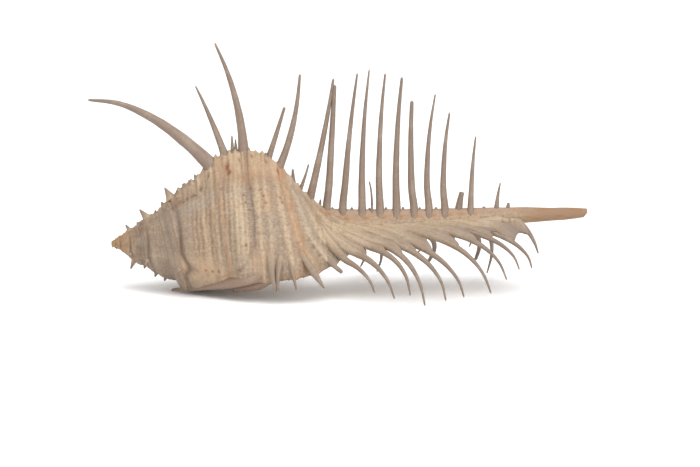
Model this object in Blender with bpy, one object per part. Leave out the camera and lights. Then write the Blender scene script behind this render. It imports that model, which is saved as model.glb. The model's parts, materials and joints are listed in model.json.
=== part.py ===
"""A venus comb murex shell lying on its aperture side, at its real size.

The shell coils round an axis that rises gently from the apex (-X) to the end of the siphonal
canal (+X). Three rows of spines run along it: the crest row points up, the lip row comes forward
(-Y) and curls down, and the rear row does the same behind (+Y). Units are metres, +Z is up and the
shell stands on z = 0.
"""

import math

import bmesh
import bpy
import numpy as np
from mathutils import Matrix, Vector

MM = 0.001

# Coiling axis, from the apex to the end of the canal
APEX = Vector((-58.2, 0.0, 11.7)) * MM
AXIS_RISE = math.radians(4.05)
ALONG = Vector((math.cos(AXIS_RISE), 0.0, math.sin(AXIS_RISE)))
UPWARD = Vector((-math.sin(AXIS_RISE), 0.0, math.cos(AXIS_RISE)))
FORWARD = Vector((0.0, -1.0, 0.0))

# Growth of the whorls: radii and stations grow by this ratio each turn
GROWTH = 1.8
TURNS = 6
LIP_ANGLE = 121.0
# Varices: angle, rise on the last whorl, rise on earlier ones, as shares of the radius
VARICES = ((-120.0, 0.25, 0.2), (0.0, 0.33, 0.2), (114.0, 0.05, 0.16))
VARIX_HALF_WIDTH = 9.0
# The spire is fuller on its underside: angle and half width, then (station, share)
SPIRE_BELLY = (170.0, 60.0)
BELLY_SHARES = ((3.0, 0.0), (5.5, 0.42), (9.0, 0.36), (14.0, 0.28), (18.0, 0.26), (26.0, 0.0))

# Last whorl between two varices at angle 0: station from the apex and radius, in mm
WHORL_PROFILE = (
    (15.2, 0.0), (16.0, 7.6), (18.8, 9.9), (23.3, 11.3), (25.7, 13.3), (28.1, 15.2), (33.0, 16.0),
    (38.0, 16.1), (41.3, 15.2), (45.4, 12.2), (48.0, 9.7), (50.8, 6.9), (53.0, 5.0), (55.0, 3.4),
    (57.0, 1.5), (58.0, 0.0),
)
# Columella and siphonal canal, the same all round
CANAL_PROFILE = (
    (20.0, 1.0), (30.0, 4.2), (45.0, 5.0), (52.0, 4.3), (58.0, 3.5), (66.0, 2.9), (80.0, 2.4),
    (100.0, 2.05), (116.0, 1.95), (121.5, 1.75),
)
BLEND_POWER = 4.0
LEAST_RADIUS = 0.3
# The broken end of the canal slants back below: where that begins, and by how much
SLANT_START = 115.0 * MM
SLANT_LENGTH = 3.6 * MM

# Fineness of the body's net
RING_COUNT = 44
SEGMENTS = 48
RING_STATIONS = ((0.0, 0.8), (0.2, 12.0), (0.45, 27.0), (0.82, 58.0), (0.977, 121.2),
                 (1.0, 121.5))

# Aperture: a hollow lobe under the lip
APERTURE_STATION = 38.0 * MM
APERTURE_ANGLE = 129.0
APERTURE_RADIUS = 10.6 * MM
APERTURE_HALF = (9.0 * MM, 5.6 * MM, 9.5 * MM)

# Webs that join the roots of the two lower rows: station and reach from the axis, in mm
WEB_OUTLINE = (
    (50.0, 1.0), (54.0, 13.0), (58.0, 13.4), (63.0, 12.4), (66.0, 13.0), (69.0, 11.0), (73.0, 11.6),
    (77.0, 10.0), (81.0, 10.8), (85.0, 9.4), (89.0, 10.2), (93.0, 8.8), (97.0, 9.4), (101.0, 7.6),
    (105.0, 7.6), (106.5, 4.5), (106.5, 1.0),
)
WEB_ANGLE = 115.0
WEB_THICKNESS = 1.3 * MM
# Low crest under the upper row
CREST_OUTLINE = (
    (50.0, 1.0), (51.5, 7.0), (56.0, 5.0), (74.0, 3.8), (92.0, 3.2), (106.0, 2.4), (108.0, 1.0),
)
CREST_THICKNESS = 2.2 * MM

# Spines in mm: root, middle, tip, thickness at the root, thickness at the tip.
# The crest row stands in the plane y = 0, so its points are (x, z).
CREST_SPINES = (
    ((-29.5, 29.5), (-47.3, 44.3), (-63.0, 48.6), 5.4, 0.8),
    ((-27.8, 32.5), (-31.7, 43.0), (-35.8, 52.2), 2.7, 0.6),
    ((-26.4, 32.5), (-26.6, 36.5), (-26.7, 39.6), 2.0, 0.4),
    ((-25.4, 32.5), (-25.7, 36.0), (-25.8, 38.6), 2.0, 0.4),
    ((-23.4, 32.5), (-25.5, 48.3), (-30.9, 63.1), 3.7, 0.7),
    ((-18.3, 31.0), (-15.8, 39.0), (-13.4, 46.8), 2.1, 0.9),
    ((-15.8, 29.0), (-11.6, 41.0), (-9.5, 55.2), 2.7, 0.8),
    ((-11.2, 26.0), (-11.3, 28.6), (-11.4, 31.0), 1.8, 0.6),
    ((-10.2, 24.0), (-8.4, 28.8), (-7.4, 32.3), 1.4, 0.5),
    ((-7.9, 20.0), (-3.9, 37.9), (-1.1, 54.1), 2.7, 0.8),
    ((-4.7, 18.5), (-4.6, 21.0), (-4.4, 23.3), 1.6, 0.6),
    ((-2.9, 17.0), (-1.7, 35.0), (-0.8, 52.5), 2.7, 1.2),
    ((1.3, 17.5), (2.7, 36.5), (4.9, 55.5), 2.8, 0.7),
    ((6.3, 17.5), (6.3, 37.5), (7.9, 56.5), 2.8, 0.6),
    ((8.6, 18.0), (8.5, 24.0), (7.9, 27.9), 1.0, 0.5),
    ((10.6, 17.5), (10.5, 36.8), (11.9, 55.5), 2.8, 0.7),
    ((14.8, 17.5), (14.8, 36.5), (16.1, 54.5), 2.8, 1.0),
    ((19.2, 17.5), (18.4, 33.0), (18.6, 48.5), 2.7, 1.1),
    ((23.2, 17.5), (22.7, 34.0), (24.5, 50.2), 2.7, 0.6),
    ((27.0, 17.5), (26.7, 32.0), (28.1, 45.5), 2.9, 0.7),
    ((30.4, 17.5), (30.5, 21.0), (30.6, 24.7), 2.2, 1.8),
    ((33.5, 18.0), (33.8, 29.0), (34.7, 39.4), 2.4, 0.7),
    ((39.9, 18.5), (40.3, 23.5), (41.0, 27.6), 2.0, 0.7),
    ((42.6, 19.5), (42.9, 21.0), (43.1, 22.4), 1.8, 0.9),
)
# Lip row, from the broken stub by the body to the last spine of the canal
LIP_SPINES = (
    ((-2.6, -10.0, 10.5), (-0.8, -12.6, 8.8), (0.4, -14.0, 7.6), 3.0, 1.9),
    ((-1.8, -8.0, 11.0), (5.8, -16.0, 7.9), (9.2, -20.0, 2.9), 3.4, 0.8),
    ((0.3, -6.5, 12.0), (9.4, -17.0, 9.4), (14.3, -22.0, 1.8), 3.4, 0.7),
    ((3.0, -4.5, 13.0), (13.9, -15.5, 10.7), (18.1, -21.0, 2.4), 3.4, 0.7),
    ((5.0, -3.0, 14.0), (16.6, -16.5, 11.0), (21.8, -24.0, 0.1), 3.4, 0.7),
    ((7.5, -2.5, 15.0), (21.6, -15.5, 10.4), (26.9, -22.0, 1.3), 3.4, 0.7),
    ((12.0, -2.5, 15.5), (25.8, -15.5, 10.3), (31.4, -22.0, 2.2), 3.4, 0.7),
    ((15.5, -2.0, 16.0), (30.7, -15.0, 12.9), (38.1, -22.0, 3.2), 3.2, 0.7),
    ((20.5, -2.0, 16.5), (35.3, -13.5, 14.1), (42.0, -19.0, 6.0), 3.0, 0.7),
    ((25.5, -1.5, 17.0), (39.6, -11.5, 14.4), (45.2, -17.0, 8.2), 3.0, 0.6),
    ((34.0, -1.5, 17.5), (44.1, -10.0, 13.8), (48.4, -15.0, 8.2), 2.8, 0.6),
    ((39.5, -1.0, 18.2), (46.4, -6.5, 15.4), (50.2, -10.0, 11.1), 3.4, 0.6),
)
# Spines of the lip itself. The first is the long thick fold that lies along the ground.
BODY_LIP_SPINES = (
    ((-20.0, -12.0, 5.4), (-32.0, -6.2, 1.75), (-42.2, -3.0, 0.35), 6.0, 1.0),
    ((-15.4, -13.5, 10.0), (-16.0, -19.5, 7.5), (-15.2, -20.5, 3.4), 2.4, 0.8),
    ((-13.6, -13.5, 10.0), (-14.0, -20.0, 7.5), (-14.7, -21.0, 4.2), 1.9, 0.6),
    ((-11.4, -13.0, 10.5), (-11.0, -19.5, 7.2), (-10.2, -20.5, 3.9), 1.6, 0.6),
    ((-6.8, -12.0, 11.0), (-5.0, -18.5, 7.9), (-3.3, -21.0, 4.4), 4.2, 0.7),
)
# Rear row, which bends down more steeply than the lip row
REAR_SPINES = (
    ((-1.5, 7.0, 11.5), (6.2, 16.0, 8.2), (5.7, 20.5, 2.0), 3.2, 0.7),
    ((1.5, 5.5, 12.5), (10.2, 17.0, 8.6), (10.0, 22.0, 0.1), 3.2, 0.7),
    ((4.0, 4.0, 13.5), (10.6, 14.0, 10.6), (13.8, 18.6, 6.4), 3.2, 0.7),
    ((9.0, 2.5, 14.5), (21.2, 16.5, 10.6), (20.4, 22.0, 5.4), 3.2, 0.7),
    ((12.0, 2.5, 15.0), (23.6, 15.5, 10.8), (23.3, 21.5, 3.1), 3.4, 1.2),
    ((15.5, 2.0, 15.5), (24.8, 12.5, 13.0), (27.8, 16.0, 10.0), 3.2, 0.7),
    ((18.5, 2.0, 16.0), (27.4, 12.5, 13.0), (30.0, 16.0, 9.4), 3.2, 0.7),
    ((22.5, 2.0, 16.5), (32.6, 13.5, 12.4), (33.8, 18.5, 7.6), 3.0, 0.7),
    ((26.0, 1.5, 17.0), (35.2, 14.0, 12.0), (35.5, 20.0, 3.9), 3.0, 1.2),
    ((29.5, 1.5, 17.5), (38.6, 13.5, 12.0), (38.5, 19.6, 0.1), 3.0, 0.7),
    ((34.5, 1.5, 18.0), (41.4, 10.0, 14.0), (43.6, 14.5, 10.0), 2.8, 0.6),
    ((40.0, 1.0, 18.5), (44.8, 6.5, 16.2), (47.0, 9.5, 13.0), 2.6, 0.6),
)
BODY_REAR_SPINES = (
    ((-32.0, 10.0, 8.0), (-36.0, 18.5, 5.0), (-40.0, 23.7, 0.1), 3.2, 0.7),
    ((-27.0, 10.5, 8.0), (-28.5, 18.5, 4.6), (-30.0, 23.0, 0.6), 2.2, 0.6),
    ((-22.5, 10.5, 8.0), (-22.5, 18.0, 4.4), (-23.0, 23.2, 0.1), 2.6, 0.7),
    ((-19.0, 8.0, 10.0), (-18.2, 17.0, 5.0), (-17.8, 22.4, 0.7), 2.0, 0.6),
    ((-16.0, 5.0, 11.0), (-14.0, 16.0, 6.0), (-12.5, 21.5, 0.8), 2.2, 0.6),
    ((-13.8, 4.0, 12.0), (-10.6, 15.0, 6.6), (-8.2, 21.4, 0.8), 2.0, 0.6),
    ((-11.5, 3.0, 13.0), (-7.0, 14.0, 7.0), (-4.0, 21.0, 0.9), 2.4, 0.6),
)
# Short shoulder spines of the earlier whorls, in mm: station, angle, reach past the skin, lean,
# thickness at the root
SPIRE_SPINES = (
    (17.0, 0.0, 2.6, -1.6, 2.6), (10.6, 0.0, 1.9, -2.0, 2.2), (6.0, 0.0, 1.0, -1.2, 1.4),
    (18.6, 117.0, 2.2, -1.0, 1.6), (10.6, 120.0, 1.8, -1.2, 1.6), (6.2, 120.0, 1.2, -0.8, 1.2),
    (22.0, -120.0, 3.4, -1.6, 2.2), (12.6, -120.0, 2.6, -1.2, 1.8), (7.4, -120.0, 1.4, -0.9, 1.3),
    (6.4, 176.0, 1.4, -1.0, 1.8), (12.0, 176.0, 0.9, -0.8, 1.6),
)
# Share of the reach by which a shoulder spine starts below the skin
SPIRE_SPINE_SINK = 0.65
SPIRE_TIP_THICKNESS = 0.6

TAPER_POWER = 0.8
SHORT_SPINE = 9.0
STRAIGHT_BOW = 1.3
GROUND_SIZE = (200.0 * MM, 100.0 * MM, 20.0 * MM)
WELD_DISTANCE = 0.01 * MM


def on_axis(station):
    """Point of the coiling axis at a station measured from the apex."""
    return APEX + ALONG * station


def outward(angle):
    """Direction away from the axis at an angle in degrees, 0 up and 90 forward."""
    turn = math.radians(angle)
    return UPWARD * math.cos(turn) + FORWARD * math.sin(turn)


def profile(points, station):
    """Radius read from a list of (station, radius) points in mm."""
    stations = [point[0] for point in points]
    radii = [point[1] for point in points]
    return float(np.interp(station, stations, radii, left=0.0, right=0.0))


def bell(angle, centre, half_width):
    """A soft bell of height 1 round an angle, in degrees."""
    offset = (angle - centre + 180.0) % 360.0 - 180.0
    return math.exp(-(offset / half_width) ** 2)


def varix_factor(angle, turn):
    """How much the rounded ridge of the nearest varix lifts the whorl."""
    lift = 0.0
    for varix, last_rise, early_rise in VARICES:
        rise = last_rise if turn == 0 else early_rise
        lift += rise * bell(angle, varix, VARIX_HALF_WIDTH)
    return 1.0 + lift


def belly_factor(angle, station_mm):
    """How much fuller the spire is below."""
    centre, half_width = SPIRE_BELLY
    return 1.0 + profile(BELLY_SHARES, station_mm) * bell(angle, centre, half_width)


def skin_radius(station, angle):
    """Distance of the shell's skin from the axis, in metres."""
    wrapped = (angle - LIP_ANGLE) % 360.0 + LIP_ANGLE - 360.0
    if wrapped == LIP_ANGLE - 360.0:
        wrapped = LIP_ANGLE
    station_mm = station / MM
    whorl = 0.0
    for turn in range(TURNS):
        scale = GROWTH ** (wrapped / 360.0 - turn)
        radius = scale * profile(WHORL_PROFILE, station_mm / scale)
        whorl = max(whorl, radius * varix_factor(angle, turn))
    canal = profile(CANAL_PROFILE, station_mm)
    whorl *= belly_factor(angle, station_mm)
    blended = (whorl ** BLEND_POWER + canal ** BLEND_POWER) ** (1.0 / BLEND_POWER)
    return max(blended, LEAST_RADIUS) * MM


def slant(station, angle):
    """How far a place near the end of the canal lies behind the end's upper edge."""
    share = max(0.0, (station - SLANT_START) / (RING_STATIONS[-1][1] * MM - SLANT_START))
    return SLANT_LENGTH * share * (1.0 - math.cos(math.radians(angle))) / 2.0


def link(obj, collection):
    """Put an object in one of the model's collections."""
    collection.objects.link(obj)
    return obj


def new_mesh_object(name, bm, collection):
    """Make an object from a bmesh whose faces are turned outwards."""
    bm.normal_update()
    bmesh.ops.recalc_face_normals(bm, faces=bm.faces)
    mesh = bpy.data.meshes.new(name)
    bm.to_mesh(mesh)
    bm.free()
    return link(bpy.data.objects.new(name, mesh), collection)


def as_guide(obj):
    """Mark an object as a helper that is cut or joined into another."""
    obj.hide_render = True
    obj.display_type = "WIRE"
    return obj


def build_body(collection):
    """Whorls and canal: a globe whose rings are moved out to the shell's skin."""
    bm = bmesh.new()
    bmesh.ops.create_uvsphere(bm, u_segments=SEGMENTS, v_segments=RING_COUNT, radius=1.0)
    shares = [pair[0] for pair in RING_STATIONS]
    stations = [pair[1] for pair in RING_STATIONS]
    for vert in bm.verts:
        share = math.acos(max(-1.0, min(1.0, vert.co.z))) / math.pi
        station = float(np.interp(share, shares, stations)) * MM
        at_pole = share < 1e-4 or share > 1.0 - 1e-4
        if at_pole:
            vert.co = on_axis(station)
        else:
            angle = math.degrees(math.atan2(vert.co.y, vert.co.x))
            radius = skin_radius(station, angle)
            vert.co = on_axis(station - slant(station, angle)) + outward(angle) * radius
    return new_mesh_object("shell", bm, collection)


def mesh_from_curve(curve_object, name, collection):
    """Turn a curve object into a closed mesh object and remove the curve."""
    bpy.context.view_layer.update()
    depsgraph = bpy.context.evaluated_depsgraph_get()
    mesh = bpy.data.meshes.new_from_object(curve_object.evaluated_get(depsgraph))
    bm = bmesh.new()
    bm.from_mesh(mesh)
    bmesh.ops.remove_doubles(bm, verts=bm.verts, dist=WELD_DISTANCE)
    bm.transform(curve_object.matrix_world)
    bpy.data.meshes.remove(mesh)
    bpy.data.objects.remove(curve_object)
    return as_guide(new_mesh_object(name, bm, collection))


def bezier_through(root, middle, tip, share):
    """Point of the bow that starts at root, passes through middle and ends at tip."""
    handle = middle * 2.0 - (root + tip) * 0.5
    rest = 1.0 - share
    return root * rest ** 2 + handle * (2.0 * share * rest) + tip * share ** 2


def build_spine(name, root, middle, tip, root_thickness, tip_thickness, collection):
    """One tapered spine; its points are in mm."""
    root, middle, tip = Vector(root), Vector(middle), Vector(tip)
    length = (tip - root).length
    bow = (middle - (root + tip) * 0.5).length
    if length < SHORT_SPINE:
        count = 3
    elif bow < STRAIGHT_BOW:
        count = 4
    else:
        count = 6
    curve = bpy.data.curves.new(name, "CURVE")
    curve.dimensions = "3D"
    curve.bevel_depth = 0.5 * MM
    curve.bevel_resolution = 1
    curve.use_fill_caps = True
    spline = curve.splines.new("POLY")
    spline.points.add(count - 1)
    for index, point in enumerate(spline.points):
        share = index / (count - 1)
        place = bezier_through(root, middle, tip, share) * MM
        point.co = (place.x, place.y, place.z, 1.0)
        point.radius = root_thickness + (tip_thickness - root_thickness) * share ** TAPER_POWER
    curve_object = link(bpy.data.objects.new(name + "_path", curve), collection)
    return mesh_from_curve(curve_object, name, collection)


def build_web(name, outline, angle, thickness, collection):
    """A thin plate standing out from the axis, cut to an outline of stations and reaches."""
    curve = bpy.data.curves.new(name, "CURVE")
    curve.dimensions = "2D"
    curve.fill_mode = "BOTH"
    curve.extrude = thickness / 2.0
    spline = curve.splines.new("POLY")
    spline.points.add(len(outline) - 1)
    for point, (station, reach) in zip(spline.points, outline):
        point.co = (station * MM, reach * MM, 0.0, 1.0)
    spline.use_cyclic_u = True
    curve_object = link(bpy.data.objects.new(name + "_path", curve), collection)
    side = outward(angle)
    normal = ALONG.cross(side)
    rotation = Matrix((ALONG, side, normal)).transposed().to_4x4()
    curve_object.matrix_world = Matrix.Translation(APEX) @ rotation
    return mesh_from_curve(curve_object, name, collection)


def build_crest_row(collection):
    """Upper row: a low crest and the tall spines on it."""
    build_web("crest", CREST_OUTLINE, 0.0, CREST_THICKNESS, collection)
    for index, (root, middle, tip, wide, narrow) in enumerate(CREST_SPINES, 1):
        points = [(x, 0.0, z) for x, z in (root, middle, tip)]
        build_spine(f"crest_spine_{index:02d}", *points, wide, narrow, collection)


def build_lip_row(collection):
    """Forward row: the web, the canal's spines and the spines of the lip."""
    build_web("lip_web", WEB_OUTLINE, WEB_ANGLE, WEB_THICKNESS, collection)
    for index, spine in enumerate(LIP_SPINES + BODY_LIP_SPINES, 1):
        build_spine(f"lip_spine_{index:02d}", *spine, collection)


def build_rear_row(collection):
    """Rear row, behind the canal and the body whorl."""
    build_web("rear_web", WEB_OUTLINE, -WEB_ANGLE, WEB_THICKNESS, collection)
    for index, spine in enumerate(REAR_SPINES + BODY_REAR_SPINES, 1):
        build_spine(f"rear_spine_{index:02d}", *spine, collection)


def build_spire_spines(collection):
    """Short spines on the shoulders of the earlier whorls."""
    for index, (station, angle, reach, lean, thickness) in enumerate(SPIRE_SPINES, 1):
        skin = skin_radius(station * MM, angle) / MM
        foot = on_axis(station * MM) / MM + outward(angle) * (skin - SPIRE_SPINE_SINK * reach)
        tip = on_axis((station + lean) * MM) / MM + outward(angle) * (skin + reach)
        name = f"spire_spine_{index:02d}"
        build_spine(name, foot, (foot + tip) / 2.0, tip, thickness, SPIRE_TIP_THICKNESS, collection)


def build_aperture_cutter(collection):
    """The hollow of the mouth, a lobe that opens past the lip."""
    bm = bmesh.new()
    bmesh.ops.create_uvsphere(bm, u_segments=20, v_segments=12, radius=1.0)
    side = outward(APERTURE_ANGLE)
    tangent = ALONG.cross(side)
    centre = on_axis(APERTURE_STATION) + side * APERTURE_RADIUS
    rotation = Matrix((ALONG, side, tangent)).transposed().to_4x4()
    half = Matrix.Diagonal((*APERTURE_HALF, 1.0))
    bm.transform(Matrix.Translation(centre) @ rotation @ half)
    return as_guide(new_mesh_object("aperture_hollow", bm, collection))


def build_ground_cutter(collection):
    """A block below z = 0, which leaves flat contact faces under the shell."""
    bm = bmesh.new()
    bmesh.ops.create_cube(bm, size=1.0)
    size = Matrix.Diagonal((*GROUND_SIZE, 1.0))
    bm.transform(Matrix.Translation((0.0, 0.0, -GROUND_SIZE[2] / 2.0)) @ size)
    return as_guide(new_mesh_object("ground_block", bm, collection))


def add_boolean(obj, name, operation, operand):
    """Join or cut with an object or with a whole collection."""
    modifier = obj.modifiers.new(name, "BOOLEAN")
    modifier.operation = operation
    modifier.solver = "EXACT"
    if isinstance(operand, bpy.types.Collection):
        modifier.operand_type = "COLLECTION"
        modifier.collection = operand
    else:
        modifier.object = operand


def shell_material():
    """Cream to tan shell, dull with a slight sheen."""
    material = bpy.data.materials.new("shell")
    material.use_nodes = True
    shader = material.node_tree.nodes["Principled BSDF"]
    shader.inputs["Base Color"].default_value = (0.58, 0.45, 0.32, 1.0)
    shader.inputs["Roughness"].default_value = 0.55
    shader.inputs["Metallic"].default_value = 0.0
    material.diffuse_color = (0.58, 0.45, 0.32, 1.0)
    return material


def clear_scene():
    """Remove whatever the scene holds at the start."""
    for obj in list(bpy.data.objects):
        bpy.data.objects.remove(obj)


def main():
    """Build the shell as one solid."""
    clear_scene()
    parts = bpy.data.collections.new("venus comb murex shell")
    joined = bpy.data.collections.new("spines and webs")
    cutters = bpy.data.collections.new("cutters")
    for collection in (parts, joined, cutters):
        bpy.context.scene.collection.children.link(collection)
    shell = build_body(parts)
    build_crest_row(joined)
    build_lip_row(joined)
    build_rear_row(joined)
    build_spire_spines(joined)
    aperture = build_aperture_cutter(cutters)
    ground = build_ground_cutter(cutters)
    add_boolean(shell, "mouth", "DIFFERENCE", aperture)
    add_boolean(shell, "spines", "UNION", joined)
    add_boolean(shell, "ground", "DIFFERENCE", ground)
    shell.data.materials.append(shell_material())


main()
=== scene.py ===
"""Looks of a venus comb murex shell lying on a pale table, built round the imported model.

The shell coils round an axis that rises gently from the apex (-X) to the end of the siphonal canal
(+X). Places on it are given as a station along that axis from the apex, a radius from the axis and
an angle round it, 0 up and 90 towards the camera. Sizes are in millimetres until a mesh is filled.
"""

import json
import logging
import math
from dataclasses import dataclass
from enum import Enum

import bpy
import numpy as np
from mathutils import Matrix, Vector

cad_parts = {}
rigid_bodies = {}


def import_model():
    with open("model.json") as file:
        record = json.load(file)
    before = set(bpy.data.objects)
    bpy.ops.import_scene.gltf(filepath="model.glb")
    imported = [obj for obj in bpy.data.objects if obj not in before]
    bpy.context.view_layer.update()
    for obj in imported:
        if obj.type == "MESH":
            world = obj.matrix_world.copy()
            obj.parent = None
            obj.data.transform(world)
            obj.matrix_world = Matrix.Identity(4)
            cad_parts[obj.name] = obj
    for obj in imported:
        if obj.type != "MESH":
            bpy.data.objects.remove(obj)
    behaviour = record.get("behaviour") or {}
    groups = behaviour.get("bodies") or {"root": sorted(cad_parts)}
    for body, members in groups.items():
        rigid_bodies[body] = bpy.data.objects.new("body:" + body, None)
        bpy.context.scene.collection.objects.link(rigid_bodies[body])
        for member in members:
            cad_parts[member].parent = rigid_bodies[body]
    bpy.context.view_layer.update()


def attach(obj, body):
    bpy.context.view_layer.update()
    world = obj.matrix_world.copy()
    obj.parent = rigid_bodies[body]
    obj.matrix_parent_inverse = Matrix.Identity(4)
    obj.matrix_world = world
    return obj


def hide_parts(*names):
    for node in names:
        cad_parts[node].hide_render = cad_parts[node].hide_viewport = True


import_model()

MM = 0.001
BODY = "root"
NODE = "shell"
LOG = logging.getLogger("shell")
TINY = 1e-9
# Lines of the lattice that the noises repeat after
LATTICE = 64
# Height on a globe of radius 1 above which only its pole lies
POLE_HEIGHT = 0.9999999
ALMOST_A_TURN = 359.99
QUARTERS = (0.0, 0.25, 0.5, 0.75, 1.0)

Point = tuple[float, float, float]
Profile = tuple[tuple[float, float], ...]
Path = tuple[Point, ...]
Array = np.ndarray


def unit(vectors: Array) -> Array:
    """Scale rows of x, y and z to length one."""
    return vectors / np.maximum(np.linalg.norm(vectors, axis=-1, keepdims=True), TINY)


def smooth_step(low: float, high: float, value: Array) -> Array:
    """Ease from 0 at low to 1 at high."""
    share = np.clip((value - low) / (high - low), 0.0, 1.0)
    return share * share * (3.0 - 2.0 * share)


def bump(value: Array, centre: float, half_width: float) -> Array:
    """A soft bell of height 1, which falls to about a third at half_width from its centre."""
    return np.exp(-(((value - centre) / half_width) ** 2))


def read_profile(points: Profile, value: Array) -> Array:
    """Read the straight lines that join (value, result) pairs."""
    values, results = np.array(points, dtype=float).T
    return np.interp(value, values, results)


def wrap_degrees(angle: Array) -> Array:
    """Bring angles into the range from -180 to 180 degrees."""
    return (angle + 180.0) % 360.0 - 180.0


def facing(angle: Array, centre: float, half_width: float) -> Array:
    """A soft bell round the axis, with its peak in the direction centre."""
    return bump(wrap_degrees(angle - centre), 0.0, half_width)


class Grain(Enum):
    """Noises of the shell: the seed, then how far apart the lattice lies along each number."""

    PATCHY = (21, 1.1, 5.0)
    SPECKLED = (71, 0.4, 1.6)
    WORN = (51, 1.3, 14.0)
    STAINED = (31, 3.0, 1.0)
    BLOTCHED = (41, 2.6, 24.0)
    WAVERING = (61, 12.0, 4.0)
    WANDERING = (3, 2.2, 9.0)
    LUMPY = (5, 11.0, 2.4)
    SWELLING = (11, 2.1, 1.0)

    def read(self, first: Array, second: Array) -> Array:
        """Smooth two-dimensional noise.

        Args:
            first: First number of each place.
            second: Second number of each place.

        Returns:
            A number between -1 and 1 for each place.
        """
        seed, first_step, second_step = self.value
        lattice = np.random.default_rng(seed).uniform(-1.0, 1.0, (LATTICE, LATTICE))
        column, row = np.floor(first / first_step).astype(int), np.floor(second / second_step).astype(int)
        across = smooth_step(0.0, 1.0, first / first_step - column)
        up = smooth_step(0.0, 1.0, second / second_step - row)
        near, near_next, far, far_next = (
            lattice[(column + right) % LATTICE, (row + above) % LATTICE]
            for above in (0, 1) for right in (0, 1)
        )
        near = near * (1 - across) + near_next * across
        far = far * (1 - across) + far_next * across
        return near * (1 - up) + far * up


@dataclass(frozen=True)
class CoilingAxis:
    """The line that the whorls and the canal run round."""

    apex: Point = (-58.2, 0.0, 11.7)
    rise_degrees: float = 4.05
    droop_start: float = 96.0
    droop: float = 0.45
    last_station: float = 121.5

    def along(self) -> Array:
        """Direction from the apex to the end of the canal."""
        rise = math.radians(self.rise_degrees)
        return np.array((math.cos(rise), 0.0, math.sin(rise)))

    def upward(self) -> Array:
        """Direction away from the axis at angle 0."""
        rise = math.radians(self.rise_degrees)
        return np.array((-math.sin(rise), 0.0, math.cos(rise)))

    def outward(self, angle: Array) -> Array:
        """Directions away from the axis at angles in degrees."""
        turn = np.radians(np.asarray(angle, dtype=float))[..., None]
        return self.upward() * np.cos(turn) + np.array((0.0, -1.0, 0.0)) * np.sin(turn)

    def station_of(self, point: Point) -> float:
        """Station of a point in mm."""
        return float((np.array(point) - np.array(self.apex)) @ self.along())

    def place(self, station: Array, radius: Array, angle: Array) -> Array:
        """Turn station, radius and angle into x, y and z.

        Args:
            station: Distance along the axis from the apex, in mm.
            radius: Distance from the axis, in mm.
            angle: Angle round the axis, in degrees.

        Returns:
            Points in mm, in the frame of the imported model.
        """
        station = np.asarray(station, dtype=float)
        share = np.clip((station - self.droop_start) / (self.last_station - self.droop_start), 0.0, None)
        base = np.array(self.apex) + station[..., None] * self.along()
        base = base - (self.droop * share ** 2)[..., None] * self.upward()
        return base + np.asarray(radius, dtype=float)[..., None] * self.outward(angle)


@dataclass(frozen=True)
class Varix:
    """A rounded ridge left by an earlier lip."""

    angle: float
    last_rise: float
    early_rise: float


@dataclass(frozen=True)
class Line:
    """A line along the last whorl: (angle, station) pairs from the crest varix to the lip.

    Behind the crest varix, and on earlier whorls, it keeps its place in the growth.
    """

    path: Profile
    half_width: float
    strength: float


@dataclass(frozen=True)
class SkinSample:
    """What the skin is like at each vertex."""

    radius: Array
    turn: Array
    canal: Array
    suture: Array


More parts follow.
